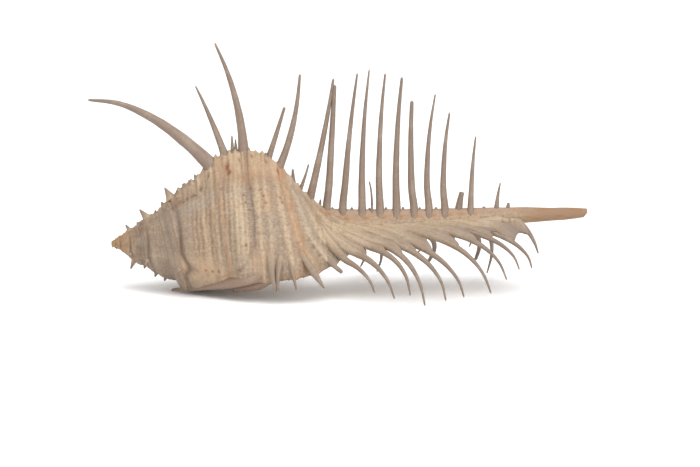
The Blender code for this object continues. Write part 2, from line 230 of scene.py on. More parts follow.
@dataclass(frozen=True)
class Sculpture:
    """Shape of the shell's skin: growth, varices, spiral cords and beads. Sizes in mm."""

    growth: float = 1.8
    turns: int = 6
    lip_angle: float = 121.0
    varices: tuple[Varix, ...] = (
        Varix(-120.0, 0.25, 0.2), Varix(0.0, 0.33, 0.2), Varix(114.0, 0.05, 0.16),
    )
    varix_half_width: float = 9.0
    suture_angle: float = 122.0
    suture_half_angle: float = 44.0
    suture_shift: float = 1.25
    belly_angle: float = 170.0
    belly_half_width: float = 60.0
    belly_shares: Profile = (
        (3.0, 0.0), (5.5, 0.42), (9.0, 0.36), (14.0, 0.28), (18.0, 0.26), (26.0, 0.0),
    )
    whorl_profile: Profile = (
        (15.2, 0.0), (16.0, 7.6), (18.8, 9.9), (23.3, 11.3), (25.7, 13.3), (28.1, 15.2), (33.0, 16.0),
        (38.0, 16.1), (41.3, 15.2), (45.4, 12.2), (48.0, 9.7), (50.8, 6.9), (53.0, 5.0), (55.0, 3.4),
        (57.0, 1.5), (58.0, 0.0),
    )
    canal_profile: Profile = (
        (20.0, 1.0), (30.0, 4.2), (45.0, 5.0), (52.0, 4.3), (58.0, 3.5), (66.0, 2.9), (80.0, 2.4),
        (100.0, 2.0), (108.0, 1.8), (116.0, 1.55), (119.0, 1.35), (121.5, 1.1),
    )
    crest_profile: Profile = ((48.0, 0.0), (54.0, 1.3), (57.5, 1.5), (74.0, 1.25), (106.0, 0.3), (112.0, 0.0))
    crest_half_width: float = 30.0
    blend_power: float = 4.0
    slant_start: float = 115.0
    slant_length: float = 1.0
    last_station: float = 121.5
    cords: tuple[Line, ...] = (
        Line(((0, 24.4), (121, 26.4)), 0.5, 0.12), Line(((0, 27.0), (121, 29.2)), 0.5, 0.14),
        Line(((0, 28.9), (63, 30.1), (112, 31.5)), 0.5, 0.2),
        Line(((0, 33.2), (49, 33.9), (72, 34.8), (104, 34.9)), 1.5, 0.3),
        Line(((0, 38.4), (52, 39.3), (102, 39.6), (121, 40.0)), 0.6, 0.2),
        Line(((0, 40.5), (52, 41.3), (78, 42.0), (102, 41.7), (121, 42.2)), 0.75, 0.42),
        Line(((0, 43.4), (52, 44.6), (83, 45.9), (110, 47.0), (121, 47.3)), 0.75, 0.42),
        Line(((0, 45.4), (32, 46.2), (65, 47.9), (88, 49.0), (108, 51.6), (121, 53.0)), 0.8, 0.5),
        Line(((0, 46.9), (12, 46.9), (65, 50.1), (85, 51.4), (107, 54.8), (121, 57.4)), 0.7, 0.5),
        Line(((0, 49.0), (35, 50.0), (70, 52.7), (93, 55.0), (118, 59.7), (121, 60.3)), 0.8, 0.5),
        Line(((0, 51.2), (35, 52.8), (70, 56.2), (93, 59.6), (121, 66.0)), 0.9, 0.45),
        Line(((0, 53.6), (35, 55.8), (70, 60.4), (93, 65.0), (121, 72.0)), 0.9, 0.4),
    )
    grooves: tuple[Line, ...] = (
        Line(((0, 36.4), (50, 37.2), (65, 37.7), (88, 37.7), (101, 35.9), (110, 32.8), (121, 28.0)),
             0.45, 0.3),
    )
    smooth_shoulder: tuple[float, float] = (18.2, 1.3)
    smooth_corner: tuple[float, float, float, float] = (23.0, 128.0, 9.0, 22.0)
    fine_spacing: float = 1.2
    fine_height: float = 0.13
    bead_height: float = 0.07
    beads_a_turn: float = 130.0
    growth_lines: float = 0.12
    nodule_spacing: float = 1.7
    nodule_height: float = 0.7
    # Stations between which the suture's shift ends; the crease's half depth and what the radius adds
    shift_ends: tuple[float, float] = (27.0, 19.0)
    crease: tuple[float, float] = (0.12, 0.03)
    least_whorl: float = 0.5
    least_radius: float = 0.25
    # How far lines narrow and widen with the whorls, and how far past and before their end they fade
    line_scale: tuple[float, float] = (0.3, 1.1)
    line_fade: tuple[float, float] = (9.0, 3.0)
    relief_scale: tuple[float, float] = (0.4, 1.0)
    # Cords stand higher near the lip; fine cords waver, and are worn past these stations
    lip_ramp: tuple[float, float] = (60.0, 118.0)
    lip_gain: float = 0.8
    waver: float = 0.22
    worn_part: tuple[float, float] = (36.5, 38.5)
    worn_loss: float = 0.6
    smooth_loss: float = 0.6
    # Nodules: direction and half width on the crest varix, its reach, and on the one behind it
    crest_nodules: tuple[float, float] = (3.0, 9.0)
    crest_reach: float = 30.0
    rear_nodules: tuple[float, float] = (-120.0, 8.0)

    def size(self, angle: Array, turn: Array) -> Array:
        """How large the shell was at each place, 1 at the crest of the last whorl."""
        return self.growth ** (angle / 360.0 - turn)

    def varix(self, angle: Array, turn: Array) -> Array:
        """How much the nearest varix lifts the whorl.

        Args:
            angle: Angles in degrees.
            turn: How many turns before the last one.

        Returns:
            Factors of one and more.
        """
        factor = np.ones_like(angle)
        for varix in self.varices:
            rise = np.where(turn == 0, varix.last_rise, varix.early_rise)
            factor = factor + rise * facing(angle, varix.angle, self.varix_half_width)
        return factor

    def smooth_profile(self, points: Profile, station: Array) -> Array:
        """Radius along a profile, eased at its points.

        Args:
            points: Stations and radii.
            station: Where to read the profile.

        Returns:
            The radius, zero outside the profile.
        """
        fine = np.linspace(points[0][0], points[-1][0], 600)
        kernel = np.hanning(25)
        padded = np.pad(read_profile(points, fine), len(kernel) // 2, mode="edge")
        eased = np.convolve(padded, kernel / kernel.sum(), mode="valid")
        return np.interp(station, fine, eased, left=0.0, right=0.0)

    def sample(self, station: Array, angle: Array) -> SkinSample:
        """Radius of the skin before cords, and which whorl it belongs to.

        Args:
            station: Stations in mm.
            angle: Angles in degrees.

        Returns:
            The skin at each place.
        """
        whorl, second, turn = (np.zeros_like(station) for _ in range(3))
        lowered = facing(angle, self.suture_angle, self.suture_half_angle)
        for number in range(self.turns):
            scale = self.size(angle, number)
            level = station / scale
            level = level + self.suture_shift * lowered * smooth_step(*self.shift_ends, level)
            radius = scale * self.smooth_profile(self.whorl_profile, level)
            radius = radius * self.varix(angle, np.full_like(station, number))
            higher = radius > whorl
            second = np.where(higher, whorl, np.maximum(second, radius))
            turn = np.where(higher, number, turn)
            whorl = np.where(higher, radius, whorl)
        suture = bump(whorl - second, 0.0, self.crease[0] + self.crease[1] * whorl)
        suture = suture * (whorl > self.least_whorl)
        belly = facing(angle, self.belly_angle, self.belly_half_width)
        whorl = whorl * (1.0 + self.smooth_profile(self.belly_shares, station) * belly)
        canal = self.smooth_profile(self.canal_profile, station)
        crest = facing(angle, 0.0, self.crest_half_width)
        canal = canal + self.smooth_profile(self.crest_profile, station) * crest
        total = (whorl ** self.blend_power + canal ** self.blend_power) ** (1.0 / self.blend_power)
        share = canal ** self.blend_power / np.maximum(total ** self.blend_power, TINY)
        return SkinSample(np.maximum(total, self.least_radius), turn, share, suture)

    def across(self, line: Line, station: Array, angle: Array, turn: Array) -> Array:
        """How near each place is to a line.

        Args:
            line: The line.
            station: Stations in mm.
            angle: Angles in degrees.
            turn: Turns before the last one.

        Returns:
            One on the line, falling to zero beside it.
        """
        scale = self.size(angle, turn)
        last_whorl = (turn == 0) & (angle >= 0.0)
        end = line.path[-1][0]
        past, before = self.line_fade
        centre = np.where(last_whorl, read_profile(line.path, angle), line.path[0][1] * scale)
        ends = np.where(last_whorl, smooth_step(end + past, end - before, angle), 1.0)
        return bump(station, centre, line.half_width * np.clip(scale, *self.line_scale)) * ends

    def cord_relief(self, station: Array, angle: Array, turn: Array) -> tuple[Array, Array]:
        """Height of the spiral cords and the share of a ridge at each place.

        Args:
            station: Stations in mm.
            angle: Angles in degrees.
            turn: Turns before the last one.

        Returns:
            Height in mm, and a number from 0 in a groove to 1 on a cord.
        """
        scale = np.clip(self.size(angle, turn), *self.relief_scale)
        last_whorl = turn == 0
        height, ridge = np.zeros_like(station), np.zeros_like(station)
        raised = 1.0 + self.lip_gain * np.where(last_whorl, smooth_step(*self.lip_ramp, angle), 0.0)
        for cord in self.cords:
            shape = self.across(cord, station, angle, turn)
            height = height + cord.strength * scale * shape * raised
            ridge = np.maximum(ridge, shape)
        for groove in self.grooves:
            shape = self.across(groove, station, angle, turn) * last_whorl
            height = height - groove.strength * shape
            ridge = ridge - shape
        wavy = station + self.waver * Grain.WAVERING.read(angle, station)
        fine = np.cos(wavy / (self.fine_spacing * scale) * math.pi) ** 2
        beads = 0.5 + 0.5 * np.cos(np.radians(angle) * self.beads_a_turn)
        smooth = self.smooth_share(station, angle, turn)
        worn = 1.0 - self.worn_loss * smooth_step(*self.worn_part, station) * last_whorl
        fine_cords = scale * (1.0 - smooth) * worn * fine * (self.fine_height + self.bead_height * beads)
        height = height * (1.0 - self.smooth_loss * smooth) + fine_cords
        fine = 0.5 + (fine * (0.7 + 0.3 * beads) - 0.5) * 0.75 * worn
        # This ridge share drives the finish's painted shade: dark in the grooves, cream on cords, beads and
        # nodules
        ridge = 0.55 * fine * (1.0 - smooth) + 0.45 * smooth + 0.5 * ridge
        on_varix = facing(angle, *self.crest_nodules) * facing(angle, 0.0, self.crest_reach)
        on_varix = on_varix + facing(angle, *self.rear_nodules)
        spacing = self.nodule_spacing * np.clip(scale * 1.2, 0.6, 1.0)
        knobs = np.cos(station / spacing * math.pi) ** 4
        height = height + self.nodule_height * scale * on_varix * (knobs - 0.25)
        return height, np.clip(ridge + 0.25 * on_varix, 0.0, 1.0)

    def smooth_share(self, station: Array, angle: Array, turn: Array) -> Array:
        """Where the skin is smooth: the shoulder by the suture and the corner above the lip's fold.

        Args:
            station: Stations in mm.
            angle: Angles in degrees.
            turn: Turns before the last one.

        Returns:
            A number from 0 to 1 for each place.
        """
        shoulder = bump(station / self.size(angle, turn), *self.smooth_shoulder)
        corner_station, corner_angle, half_length, half_angle = self.smooth_corner
        corner = bump(station, corner_station, half_length) * bump(angle, corner_angle, half_angle)
        return np.clip(np.maximum(shoulder, 1.4 * corner * (turn == 0)), 0.0, 1.0)

    def slant(self, station: Array, angle: Array) -> Array:
        """How far a place near the canal's broken end lies behind the end's upper edge."""
        share = np.clip((station - self.slant_start) / (self.last_station - self.slant_start), 0.0, 1.0)
        return self.slant_length * share * (1.0 - np.cos(np.radians(angle))) / 2.0


def deselect_all() -> None:
    """Leave nothing selected, so that an operator acts on new geometry alone."""
    if bpy.context.object and bpy.context.object.mode != "OBJECT":
        bpy.ops.object.mode_set(mode="OBJECT")
    bpy.ops.object.select_all(action="DESELECT")


def read_points(obj: bpy.types.Object) -> Array:
    """Vertex places of a mesh object as an array.

    Args:
        obj: A mesh object.

    Returns:
        One row of x, y and z for each vertex.
    """
    flat = np.empty(len(obj.data.vertices) * 3)
    obj.data.vertices.foreach_get("co", flat)
    return flat.reshape(-1, 3)


def write_points(obj: bpy.types.Object, points: Array) -> None:
    """Move a mesh object's vertices to points in mm."""
    obj.data.vertices.foreach_set("co", (points * MM).astype(np.float32).ravel())
    obj.data.update()


def write_attribute(obj: bpy.types.Object, name: str, values: Array) -> None:
    """Store one number a vertex for a material to read."""
    attribute = obj.data.attributes.new(name, "FLOAT", "POINT")
    attribute.data.foreach_set("value", np.asarray(values, dtype=np.float32))


def newest(name: str) -> bpy.types.Object:
    """Name the object that was just added, and return it."""
    bpy.context.object.name = name
    return bpy.context.object


def pick(obj: bpy.types.Object) -> None:
    """Leave one object selected and active.

    Args:
        obj: The object.
    """
    deselect_all()
    obj.select_set(True)
    bpy.context.view_layer.objects.active = obj


def face_outwards(obj: bpy.types.Object) -> None:
    """Turn a closed piece's faces outwards and shade it smooth.

    Args:
        obj: The piece.
    """
    pick(obj)
    bpy.ops.object.mode_set(mode="EDIT")
    bpy.ops.mesh.select_all(action="SELECT")
    bpy.ops.mesh.normals_make_consistent(inside=False)
    bpy.ops.object.mode_set(mode="OBJECT")
    bpy.ops.object.shade_smooth()
    obj.select_set(False)


class Tint(Enum):
    """Colours laid over the shell, lowest first, by the name of the number that says how much."""

    GREY = "grey"
    PALE = "pale"
    TAN = "tan"
    ROSE = "rose"
    ORANGE = "orange"
    OCHRE = "ochre"
    MOUTH = "mouth"
    # Painted shade in the sutures and in a pit of the early whorls; also darker bands round the early whorls
    # and the darker end of the canal
    DARK = "dark"
    SPOT = "spot"


@dataclass(frozen=True)
class Patch:
    """A soft-edged patch of one tint."""

    tint: Tint
    station: float
    angle: float
    half_length: float
    half_angle: float
    strength: float


@dataclass(frozen=True)
class Markings:
    """Bands, stains and spots of the shell, and painted shade in its sutures and in a pit, in stations and
    angles.
    """

    sculpture: Sculpture
    bands: tuple[tuple[Tint, Line], ...] = (
        (Tint.ORANGE, Line(((0, 28.0), (63, 29.6), (106, 30.3), (116, 30.6)), 0.35, 0.5)),
        (Tint.ORANGE, Line(((0, 28.9), (70, 30.5), (101, 31.2), (114, 31.5)), 0.42, 0.85)),
        (Tint.PALE, Line(((0, 33.2), (49, 33.9), (72, 34.8), (104, 34.9)), 1.2, 0.2)),
        (Tint.GREY, Line(((0, 36.2), (50, 37.2), (88, 37.7), (101, 35.9), (110, 32.8)), 0.5, 0.7)),
        (Tint.GREY, Line(((0, 20.5), (41, 21.8), (82, 21.9), (110, 21.6)), 0.7, 0.6)),
        (Tint.ORANGE, Line(((0, 45.2), (32, 46.4), (65, 48.0), (88, 49.3), (108, 51.4), (121, 52.8)),
                           0.75, 1.0)),
        (Tint.ORANGE, Line(((0, 44.2), (32, 45.2), (65, 46.7), (88, 47.8), (108, 49.6)), 0.34, 0.85)),
        (Tint.GREY, Line(((0, 48.0), (35, 49.0), (70, 51.6), (93, 53.4), (118, 58.0)), 0.8, 0.4)),
        (Tint.GREY, Line(((0, 42.0), (52, 43.0), (83, 44.0), (110, 44.6)), 0.6, 0.35)),
        (Tint.PALE, Line(((0, 47.0), (65, 50.4), (85, 51.8), (107, 55.0), (121, 57.6)), 0.6, 0.4)),
    )
    patches: tuple[Patch, ...] = (
        Patch(Tint.TAN, 24.0, 118.0, 6.5, 14.0, 1.0), Patch(Tint.TAN, 38.5, 104.0, 3.0, 12.0, 0.8),
        Patch(Tint.TAN, 40.0, 14.0, 9.0, 12.0, 0.5), Patch(Tint.ORANGE, 36.0, 18.0, 9.0, 17.0, 0.5),
        Patch(Tint.ORANGE, 26.0, 70.0, 3.5, 30.0, 0.3), Patch(Tint.PALE, 24.0, 30.0, 4.0, 14.0, 0.45),
        Patch(Tint.GREY, 29.5, 20.0, 3.0, 9.0, 0.45), Patch(Tint.OCHRE, 2.5, 60.0, 3.4, 400.0, 1.0),
        Patch(Tint.GREY, 9.4, 85.0, 2.6, 60.0, 0.8), Patch(Tint.GREY, 16.0, 60.0, 3.8, 400.0, 0.75),
        Patch(Tint.OCHRE, 18.0, 14.0, 3.2, 12.0, 0.4), Patch(Tint.ORANGE, 47.5, 116.0, 5.0, 4.0, 0.9),
        # The DARK patches at stations 6.2, 11.0 and 18.2 are painted shade: a pit on the early whorls and two
        # sutures at the front
        Patch(Tint.DARK, 6.2, 128.0, 0.9, 16.0, 1.0), Patch(Tint.DARK, 11.0, 96.0, 0.45, 34.0, 0.6),
        Patch(Tint.DARK, 18.2, 88.0, 0.35, 26.0, 0.5), Patch(Tint.ORANGE, 42.0, 52.0, 3.0, 14.0, 0.3),
    )
    spots: Profile = (
        (31.7, 9.0), (32.2, 13.0), (34.9, 6.5), (38.0, 5.0), (20.1, 19.0), (22.2, 15.0), (35.7, 45.0),
        (36.1, 53.0), (40.7, 48.0), (41.1, 55.0), (43.5, 36.0), (44.7, 49.0), (45.2, 54.0), (35.6, 88.0),
        (30.1, 33.0), (37.4, 38.0), (39.9, 41.0), (37.0, 60.0), (24.6, 12.0), (26.8, 9.0), (41.5, 6.0),
        (44.3, 8.0), (33.6, 108.0), (24.9, 115.0), (26.6, 115.0), (28.2, 114.0),
    )
    stain_angle: float = 43.0
    stain_half_width: float = 9.0
    stain_spots: tuple[float, ...] = (56.4, 60.7, 65.5, 70.0, 74.3, 78.6, 82.4, 86.4, 89.5, 92.5)
    large_spots: int = 2
    large_share: float = 2.2
    spot_size: float = 0.32
    # Painted shade in the sutures: least, added towards the front, the front's angle and half width
    shade: tuple[float, float, float, float] = (0.35, 0.6, 92.0, 45.0)
    # Darker bands round the early whorls, near their sutures: amount, station and half length
    early_dirt: tuple[tuple[float, float, float], ...] = ((0.6, 8.8, 2.6), (0.3, 16.0, 3.6))
    # Stations between which the canal's streak starts and ends, its upper side turns rosy, and its end
    streak_starts: tuple[float, float] = (50.0, 56.0)
    streak_ends: tuple[float, float] = (110.0, 100.0)
    rosy_from: tuple[float, float] = (54.0, 60.0)
    rosy_side: tuple[float, float] = (8.0, 34.0)
    canal_end: tuple[float, float] = (100.0, 112.0)

    def amounts(self, station: Array, angle: Array, sample: SkinSample) -> dict[Tint, Array]:
        """How much of each tint lies at each place.

        Args:
            station: Stations in mm.
            angle: Angles in degrees.
            sample: The skin there.

        Returns:
            A number from 0 to 1 for each tint.
        """
        amounts = {tint: np.zeros_like(station) for tint in Tint}

        def lay(tint: Tint, amount: Array) -> None:
            """Raise a tint to at least this amount."""
            amounts[tint] = np.maximum(amounts[tint], amount)

        patchy = 0.65 + 0.35 * Grain.PATCHY.read(station, angle)
        patchy = patchy + 0.3 * Grain.SPECKLED.read(station, angle)
        front = np.where(angle > 0.0, 1.0, 0.6) * np.where(sample.turn > 0, 0.45, 1.0)
        for tint, line in self.bands:
            near = self.sculpture.across(line, station, angle, sample.turn)
            lay(tint, line.strength * near * patchy * front)
        for patch in self.patches:
            near = bump(station, patch.station, patch.half_length)
            near = near * bump(angle, patch.angle, patch.half_angle)
            lay(patch.tint, patch.strength * near * patchy)
        for number, (at, around) in enumerate(self.spots):
            size = self.spot_size * (self.large_share if number < self.large_spots else 1.0)
            across = (angle - around) * sample.radius * math.pi / 180.0
            lay(Tint.SPOT, 0.95 * bump(np.hypot(station - at, across), 0.0, size))
        # Painted shade in the sutures, stronger towards the front, and darker bands round the early whorls,
        # both laid on the DARK tint
        least, added, front_angle, half_angle = self.shade
        shade = least + added * bump(angle, front_angle, half_angle)
        early = sum(amount * bump(station, at, half_length) for amount, at, half_length in self.early_dirt)
        worn = Grain.WORN.read(station, angle) * 0.5 + 0.75
        lay(Tint.DARK, np.maximum(shade * sample.suture, early * worn) * (1.0 - sample.canal))
        stain = self.stain_angle + 4.0 * Grain.STAINED.read(station, np.zeros_like(station))
        along = smooth_step(*self.streak_starts, station) * smooth_step(*self.streak_ends, station)
        lay(Tint.ORANGE, 0.75 * (bump(angle, stain, self.stain_half_width) * along) * patchy)
        for at in self.stain_spots:
            lay(Tint.ORANGE, bump(station, at, 1.1) * bump(angle, self.stain_angle - 3.0, 12.0))
            lay(Tint.SPOT, 0.5 * (bump(station, at, 0.45) * bump(angle, self.stain_angle - 2.0, 6.0)))
        end = smooth_step(*self.canal_end, station)
        blotch = smooth_step(0.0, 0.6, Grain.BLOTCHED.read(station, angle) + 0.15)
        lay(Tint.ROSE, 0.8 * (smooth_step(*self.rosy_from, station) * bump(angle, *self.rosy_side)))
        lay(Tint.OCHRE, end * (0.4 + 0.45 * blotch))
        lay(Tint.DARK, 0.25 * end)
        lay(Tint.ROSE, end)
        return amounts


@dataclass
class ShellBody:
    """Whorls, mouth and canal: a globe whose rings are moved out to the shell's skin. Sizes in mm."""

    axis: CoilingAxis
    sculpture: Sculpture
    columns: int = 288
    rings: int = 336
    mouth_columns: int = 30
    ring_stations: Profile = (
        (0.0, 0.8), (0.02, 1.6), (0.16, 16.0), (0.74, 58.0), (0.985, 121.3), (1.0, 121.5),
    )
    column_angles: Profile = ((0.0, -239.0), (0.52, -12.0), (0.60, 12.0), (1.0, 121.0))
    mouth_stations: tuple[float, float] = (25.5, 50.5)
    mouth_depth: float = 60.0
    rim: float = 0.9
    clearance: float = 0.05
    # Edge of the lip: station and angle; then its radius where the sheet flares to the long fold
    lip_edge: Profile = (
        (15.0, 160.0), (18.0, 157.0), (20.0, 152.0), (25.0, 139.0), (30.8, 126.0), (35.0, 120.0),
        (40.0, 117.5), (46.0, 115.5), (51.0, 117.0), (57.0, 121.0), (122.0, 121.0),
    )
    flare_radius: Profile = (
        (14.0, 12.4), (15.4, 12.6), (20.0, 13.3), (25.0, 15.0), (30.8, 16.8), (35.0, 18.4), (42.0, 19.8),
    )
    flare_angle: float = 40.0
    # Stations between which the flare starts and ends
    flare_starts: tuple[float, float] = (16.4, 18.4)
    flare_ends: tuple[float, float] = (38.0, 32.0)
    # Height of the broad lumps; radius at which they and the growth lines are full, and their least share
    lumps: float = 0.2
    full_radius: float = 8.0
    least_share: float = 0.2
    # Stations between which the lip's inner edge is orange, and share of the way in that it reaches
    teeth_start: tuple[float, float] = (41.0, 43.5)
    teeth_end: tuple[float, float] = (52.5, 50.0)
    teeth_reach: float = 0.2
    # How square the mouth's outline is, how much it narrows inside and how soon the rim is full
    squareness: float = 0.75
    narrowing: float = 0.42
    rim_gain: float = 14.0

    def edge_angle(self, station: Array) -> Array:
        """Angle of the lip's edge at each station."""
        return read_profile(self.lip_edge, station)

    def flared(self, station: Array, angle: Array, radius: Array) -> Array:
        """Lift the skin near the lip out to the long fold.

        Args:
            station: Stations in mm.
            angle: Angles in degrees.
            radius: Radius of the plain skin.

        Returns:
            The radius with the flare.
        """
        there = smooth_step(*self.flare_starts, station) * smooth_step(*self.flare_ends, station)
        past = angle - self.edge_angle(station) + self.flare_angle
        share = there * smooth_step(0.0, 1.0, past / self.flare_angle)
        return radius + share * np.maximum(read_profile(self.flare_radius, station) - radius, 0.0)

    def build(self) -> bpy.types.Object:
        """Make the piece, with the numbers its finish reads.

        Returns:
            The finished object.
        """
        deselect_all()
        bpy.ops.mesh.primitive_uv_sphere_add(segments=self.columns, ring_count=self.rings, radius=1.0)
        obj = newest("shell_body")
        globe = read_points(obj)
        row = np.arccos(np.clip(globe[:, 2], -1.0, 1.0)) / math.pi
        column = np.round(np.arctan2(globe[:, 1], globe[:, 0]) / (2 * math.pi) * self.columns)
        column = column.astype(int) % self.columns
        pole = np.abs(globe[:, 2]) > POLE_HEIGHT
        station = read_profile(self.ring_stations, row)
        radius, angle, numbers = self.skin(station, column)
        radius = np.where(pole, 0.0, radius)
        placed = station - np.where(pole, 0.0, self.sculpture.slant(station, angle))
        points = self.axis.place(placed, radius, angle)
        points[:, 2] = np.maximum(points[:, 2], self.clearance)
        write_points(obj, points)
        for name, values in numbers.items():
            write_attribute(obj, name, values)
        face_outwards(obj)
        return obj

    def skin(self, station: Array, column: Array) -> tuple[Array, Array, dict[str, Array]]:
        """Place every vertex on the skin or in the mouth.

        Args:
            station: Station of each vertex.
            column: Column of each vertex, counted round the globe.

        Returns:
            Radius and angle of each vertex, and the numbers that the finish reads.
        """
        outer_columns = self.columns - self.mouth_columns
        across = np.clip(column / (outer_columns - 1), 0.0, 1.0)
        edge = self.edge_angle(station)
        ends = smooth_step(0.25, 0.0, across) + smooth_step(0.75, 1.0, across)
        outer = read_profile(self.column_angles, across) + (edge - self.sculpture.lip_angle) * ends
        angle = np.where(column < outer_columns, outer, edge)
        sample = self.sculpture.sample(station, angle)
        height, ridge = self.sculpture.cord_relief(station, angle, sample.turn)
        bare = np.clip(sample.canal * 1.4, 0.0, 1.0)
        height = height * (1.0 - bare)
        wander = Grain.WANDERING.read(angle, station) * self.sculpture.growth_lines
        uneven = wander + Grain.LUMPY.read(angle, station) * self.lumps
        skin = self.flared(station, angle, sample.radius)
        radius = skin + height + uneven * np.clip(sample.radius / self.full_radius, self.least_share, 1.0)
        inside = column >= outer_columns
        step = (column - outer_columns + 1) / (self.mouth_columns + 1)
        before = self.sculpture.sample(station, edge - ALMOST_A_TURN).radius
        path_radius, path_angle = self.mouth_path(station, skin, before, step)
        radius = np.where(inside, path_radius, radius)
        turn = np.where(inside, 0.0, sample.turn)
        # Relief sets the finish's painted shade, 0 in a groove and 1 on a cord; the mouth and the bare canal
        # get fixed values
        relief = np.where(inside, 0.6, ridge * (1.0 - bare) + 0.55 * bare)
        tints = Markings(self.sculpture).amounts(station, angle, sample)
        tints[Tint.MOUTH] = np.where(inside, smooth_step(0.06, 0.3, step), 0.0)
        teeth = 0.8 * (smooth_step(*self.teeth_start, station) * smooth_step(*self.teeth_end, station))
        tints[Tint.ORANGE] = np.where(inside & (step < self.teeth_reach), teeth, tints[Tint.ORANGE])
        angle = np.where(inside, path_angle, angle)
        numbers = {"relief": relief, "station": station, "angle": angle, "turn": turn}
        numbers.update({tint.value: np.clip(amount, 0.0, 1.0) for tint, amount in tints.items()})
        return radius, angle, numbers

    def mouth_path(self, station: Array, top: Array, bottom: Array, step: Array) -> tuple[Array, Array]:
        """Walk from the lip's edge into the mouth and out again onto the whorl below it.

        Args:
            station: Station of each vertex.
            top: Radius of the lip's outer edge.
            bottom: Radius of the whorl that the mouth lies on.
            step: How far along the path, 0 at the lip and 1 at the whorl.

        Returns:
            Radius and angle of each place on the path.
        """
        first, last = self.mouth_stations
        middle = 0.5 * (first + last)
        inside = np.clip(1.0 - ((station - middle) / (0.5 * (last - first))) ** 2, 0.0, 1.0)
        rim = np.minimum(self.rim, 0.3 * (top - bottom))
        lower = np.maximum(bottom, 0.0)
        centre, half = 0.5 * (top - rim + lower), 0.5 * (top - rim - lower)
        turned = np.cos(math.pi * step)
        across = np.sign(turned) * np.abs(turned) ** self.squareness
        deep = np.sin(math.pi * step) ** self.squareness * inside ** 0.9
        edge = np.clip(step * self.rim_gain, 0.0, 1.0)
        radius = top + (centre + half * across * (1.0 - self.narrowing * deep) - top) * edge
        return radius, self.edge_angle(station) - self.mouth_depth * deep * edge


def bow(root: Point, middle: Point, tip: Point, shares: tuple[float, ...] = QUARTERS) -> Path:
    """Points of the bow that starts at root, passes through middle and ends at tip.

    Args:
        root: Where it starts.
        middle: Where it is halfway.
        tip: Where it ends.
        shares: Where along it to take points.

    Returns:
        The points.
    """
    start, centre, end = (np.array(point) for point in (root, middle, tip))
    handle = centre * 2.0 - (start + end) * 0.5
    return tuple(
        tuple(start * (1.0 - t) ** 2 + handle * (2.0 * t * (1.0 - t)) + end * t ** 2) for t in shares
    )


def follow(points: Path, share: Array) -> tuple[Array, Array]:
    """Walk a smooth curve through points.

    Args:
        points: The points.
        share: Share of the length at each place.

    Returns:
        Place and direction at each share.
    """
    knots = np.array(points)
    steps = np.linalg.norm(np.diff(knots, axis=0), axis=1)
    at = np.concatenate(((0.0,), np.cumsum(steps))) / steps.sum()
    slopes = np.gradient(knots, at, axis=0)
    index = np.clip(np.searchsorted(at, share, side="right") - 1, 0, len(at) - 2)
    width = (at[index + 1] - at[index])[:, None]
    t = ((share - at[index]) / width[:, 0])[:, None]
    start, end = knots[index], knots[index + 1]
    leave, arrive = slopes[index] * width, slopes[index + 1] * width
    place = (
        (2 * t ** 3 - 3 * t ** 2 + 1) * start + (t ** 3 - 2 * t ** 2 + t) * leave
        + (3 * t ** 2 - 2 * t ** 3) * end + (t ** 3 - t ** 2) * arrive
    )
    heading = (
        (6 * t ** 2 - 6 * t) * start + (3 * t ** 2 - 4 * t + 1) * leave
        + (6 * t - 6 * t ** 2) * end + (3 * t ** 2 - 2 * t) * arrive
    )
    return place, unit(heading)


@dataclass(frozen=True)
class Spine:
    """One spine: the points it runs through, its widths and its section. Sizes in mm.

    It swells from the root's width to the full width at the share called peak, then tapers.
    """

    points: Path
    wide: float
    tip_wide: float
    root_wide: float = 1.0
    peak: float = 0.0
    taper: float = 1.0
    flare: float = 0.0
    flatness: float = 1.0


